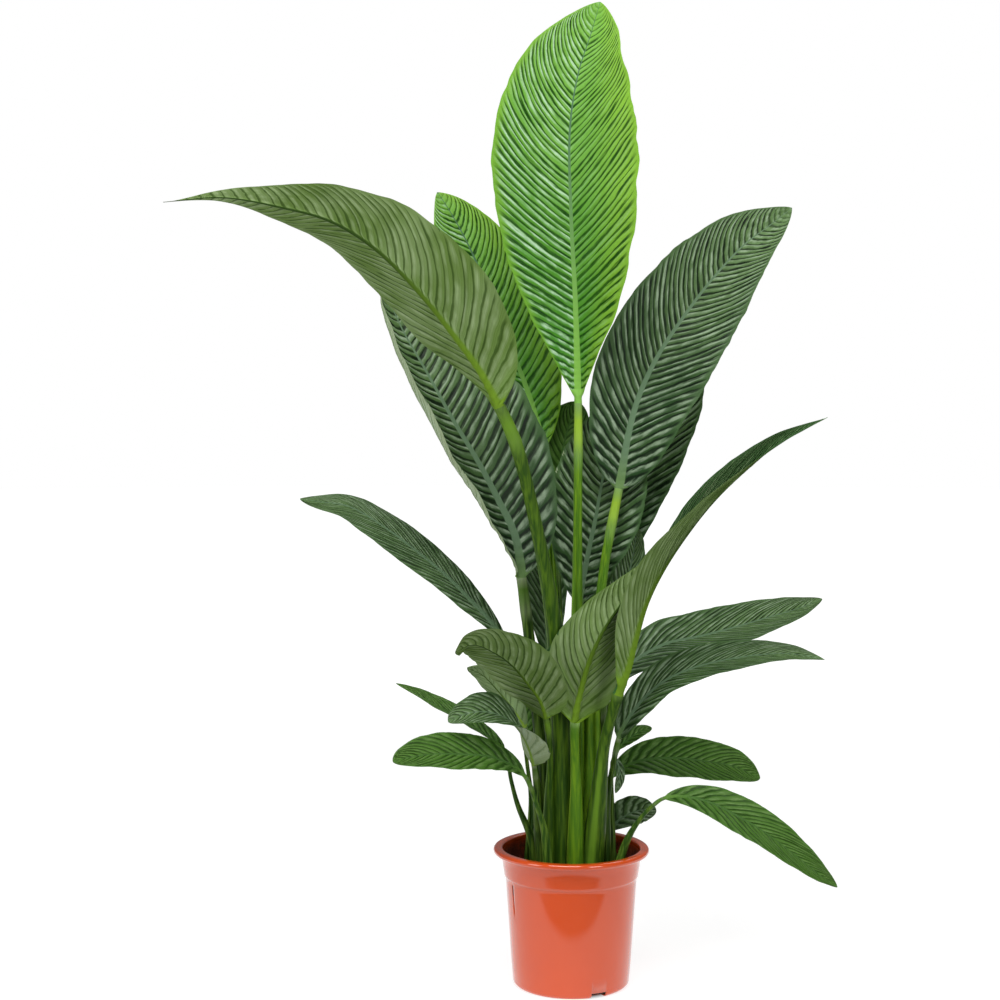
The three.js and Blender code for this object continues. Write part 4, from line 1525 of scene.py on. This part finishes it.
@dataclass
class Soil:
    """The potting soil: a crumbly plug that fills the pot to below its rim, in metres.

    Attributes:
        top: Height of its surface.
        bottom: Height of its underside.
        radius: Radius at its surface.
        foot: Radius at its underside.
        rings: Rings of points on its surface.
        crumbs: How many loose crumbs lie on it.
        grain: The smallest and the largest crumb's radius.
        stretch: The least and the most that a crumb is stretched each way.
        seed: Where the crumbs' random draws start.
    """

    top: float = SOIL_TOP * MM
    bottom: float = 0.0055
    radius: float = 0.0885
    foot: float = 0.0775
    rings: int = 26
    crumbs: int = 520
    grain: Pair = (0.0009, 0.0032)
    stretch: tuple[Pair, ...] = ((0.6, 1.6), (0.6, 1.2), (0.4, 0.9))
    seed: int = 7

    def surface(self, x: float, y: float) -> float:
        """Return the height of the uneven surface."""
        rough = noise.turbulence(Vector((x * 60, y * 60, 0.3)), 4, False, noise_basis="PERLIN_ORIGINAL")
        return self.top - 0.0035 + 0.006 * rough

    def build(self) -> bpy.types.Object:
        """Make the soil.

        Returns:
            One closed plug with an uneven top, and loose crumbs on it.
        """
        profile = [(0.0, self.bottom), (self.foot, self.bottom), (self.radius, self.top - 0.01)]
        profile += [(self.radius * (1 - i / self.rings), self.top) for i in range(self.rings)]
        profile.append((0.0, self.top))
        bm = spun(profile, 120)
        for vert in bm.verts:
            if vert.co.z > self.top - 1e-5:
                vert.co.z = self.surface(vert.co.x, vert.co.y)
        draw = random.Random(self.seed)
        for _ in range(self.crumbs):
            angle, far = draw.uniform(0, math.tau), self.radius * math.sqrt(draw.random()) * 0.97
            x, y = far * math.cos(angle), far * math.sin(angle)
            size = draw.uniform(*self.grain)
            sides = (draw.uniform(low, high) for low, high in self.stretch)
            shape = Matrix.Diagonal((*sides, 1))
            spin = draw.uniform(0, math.tau)
            axis = (draw.random(), draw.random(), draw.random() + 0.1)
            place = Matrix.Translation((x, y, self.surface(x, y) + size * 0.3))
            turned = place @ Matrix.Rotation(spin, 4, axis) @ shape
            bmesh.ops.create_icosphere(bm, subdivisions=1, radius=size, matrix=turned)
        return finished(bm, "soil_surface", 35.0)

    def dress(self, piece: bpy.types.Object) -> None:
        """Give the soil its material and tie it to its node.

        Args:
            piece: The soil's object.
        """
        piece.data.materials.append(SoilFinish().material())
        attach(piece, "root")
        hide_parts("potting_soil")


# --- Studio ---


@dataclass(frozen=True)
class Softbox:
    """One large soft light, in metres and watts."""

    name: str
    place: Triple
    aim: Triple
    size: Pair
    power: float

    def build(self) -> None:
        """Hang the light and turn it to its aim."""
        light = bpy.data.lights.new(self.name, "AREA")
        light.shape = "RECTANGLE"
        light.size, light.size_y = self.size
        light.energy = self.power
        lamp = bpy.data.objects.new(self.name, light)
        lamp.location = self.place
        way = Vector(self.aim) - Vector(self.place)
        lamp.rotation_euler = way.to_track_quat("-Z", "Y").to_euler()
        bpy.context.scene.collection.objects.link(lamp)


@dataclass
class Studio:
    """A pale floor, soft lights and the camera, in metres.

    Attributes:
        camera: The camera's place.
        pitch: Degrees that it looks down.
        lens: Focal length in millimetres on a 36 mm sensor.
        floor: Radius of the floor.
        floor_grey: The floor's own grey, which takes the plant's shadow.
        glow: How brightly the floor near the pot is seen, beside 1 far from it.
        shade: What the plant and the pot see of it in front.
        air_light: How brightly the air lights the plant.
    """

    camera: Triple = (-0.097, -2.5, 0.8)
    pitch: float = 3.2
    lens: float = 66.85
    floor: float = 14.0
    floor_grey: float = 0.3
    glow: float = 0.82
    shade: float = 0.05
    air_light: float = 0.2

    def build(self) -> None:
        """Set up the whole studio."""
        self._camera()
        self._floor()
        self._air()
        for box in SOFTBOXES:
            box.build()
        bpy.context.scene.view_settings.view_transform = "Standard"

    def _camera(self) -> None:
        """Place the camera."""
        data = bpy.data.cameras.new("camera")
        data.sensor_width = 36.0
        data.lens = self.lens
        camera = bpy.data.objects.new("camera", data)
        camera.location = self.camera
        camera.rotation_euler = (math.radians(90 - self.pitch), 0.0, 0.0)
        bpy.context.scene.collection.objects.link(camera)
        bpy.context.scene.camera = camera

    def _floor(self) -> None:
        """Lay the pale floor, which is dark under the pot as a painted shadow and, for the plant, in front
        of it.
        """
        bm = bmesh.new()
        bmesh.ops.create_circle(bm, cap_ends=True, radius=self.floor, segments=96)
        piece = finished(bm, "floor")
        floor = Surface("pale floor")
        direct = floor.add("LightPath").outputs["Is Camera Ray"]
        front = floor.ramp(direct, 0.0, 1.0, self.shade, self.glow)
        place = floor.place()
        away = floor.add("VectorMath", {0: place}, operation="LENGTH").outputs["Value"]
        near = floor.ramp(floor.parts(place)["Y"], -0.3, -0.25, front, self.glow)
        lit = floor.maths("MAXIMUM", near, floor.ramp(away, 0.8, 2.6))
        # Painted shadow: the floor stops glowing under the pot.
        glow = floor.times(lit, floor.ramp(away, 0.06, 0.079))
        inputs = {
            "Emission Strength": glow,
            "Emission Color": WHITE,
            "Base Color": (*[self.floor_grey] * 3, 1.0),
            "Roughness": 0.8,
        }
        piece.data.materials.append(floor.finish(inputs))

    def _air(self) -> None:
        """Light the air evenly, and show it white."""
        world = bpy.data.worlds.new("studio air")
        bpy.context.scene.world = world
        world.use_nodes = True
        graph = Graph(world.node_tree)
        seen = graph.add("LightPath").outputs["Is Camera Ray"]
        air = world.node_tree.nodes["Background"]
        graph.feed(air.inputs["Strength"], graph.ramp(seen, 0.0, 1.0, self.air_light))
        graph.feed(air.inputs["Color"], WHITE)


SOFTBOXES: tuple[Softbox, ...] = (
    Softbox("top light", (-0.5, -1.7, 3.3), (0.0, 0.0, 0.8), (2.2, 1.4), 84.0),
    Softbox("left light", (-2.6, -1.6, 1.5), (0.0, 0.0, 0.7), (1.0, 1.8), 26.0),
    Softbox("right light", (2.0, -2.9, 1.6), (0.0, 0.0, 0.7), (1.2, 1.8), 38.0),
    Softbox("rear light", (0.6, 2.4, 2.6), (0.0, 0.0, 0.8), (1.6, 1.2), 16.0),
)


def main() -> None:
    """Build the studio and every part of the plant, and log each leaf's face count."""
    logging.basicConfig(level=logging.INFO, format="%(message)s")
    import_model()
    Studio().build()
    for part in (Pot(), Soil()):
        part.dress(part.build())
    wide = {tone: finish.materials("wide", 1.0) for tone, finish in FINISHES.items()}
    narrow = {tone: finish.materials("narrow", 0.75) for tone, finish in FINISHES.items()}
    for row in LEAVES:
        leaf = Leaf(row)
        piece = leaf.build()
        stalk, *blade = (wide if row.half > WIDE_LEAF else narrow)[row.tone]
        if row.stalk_tone:
            stalk = wide[row.stalk_tone][Zone.STALK.value]
        leaf.dress(piece, [stalk, *blade])
        LOG.info("%s: %d faces", piece.name, len(piece.data.polygons))


if __name__ == "__main__":
    main()
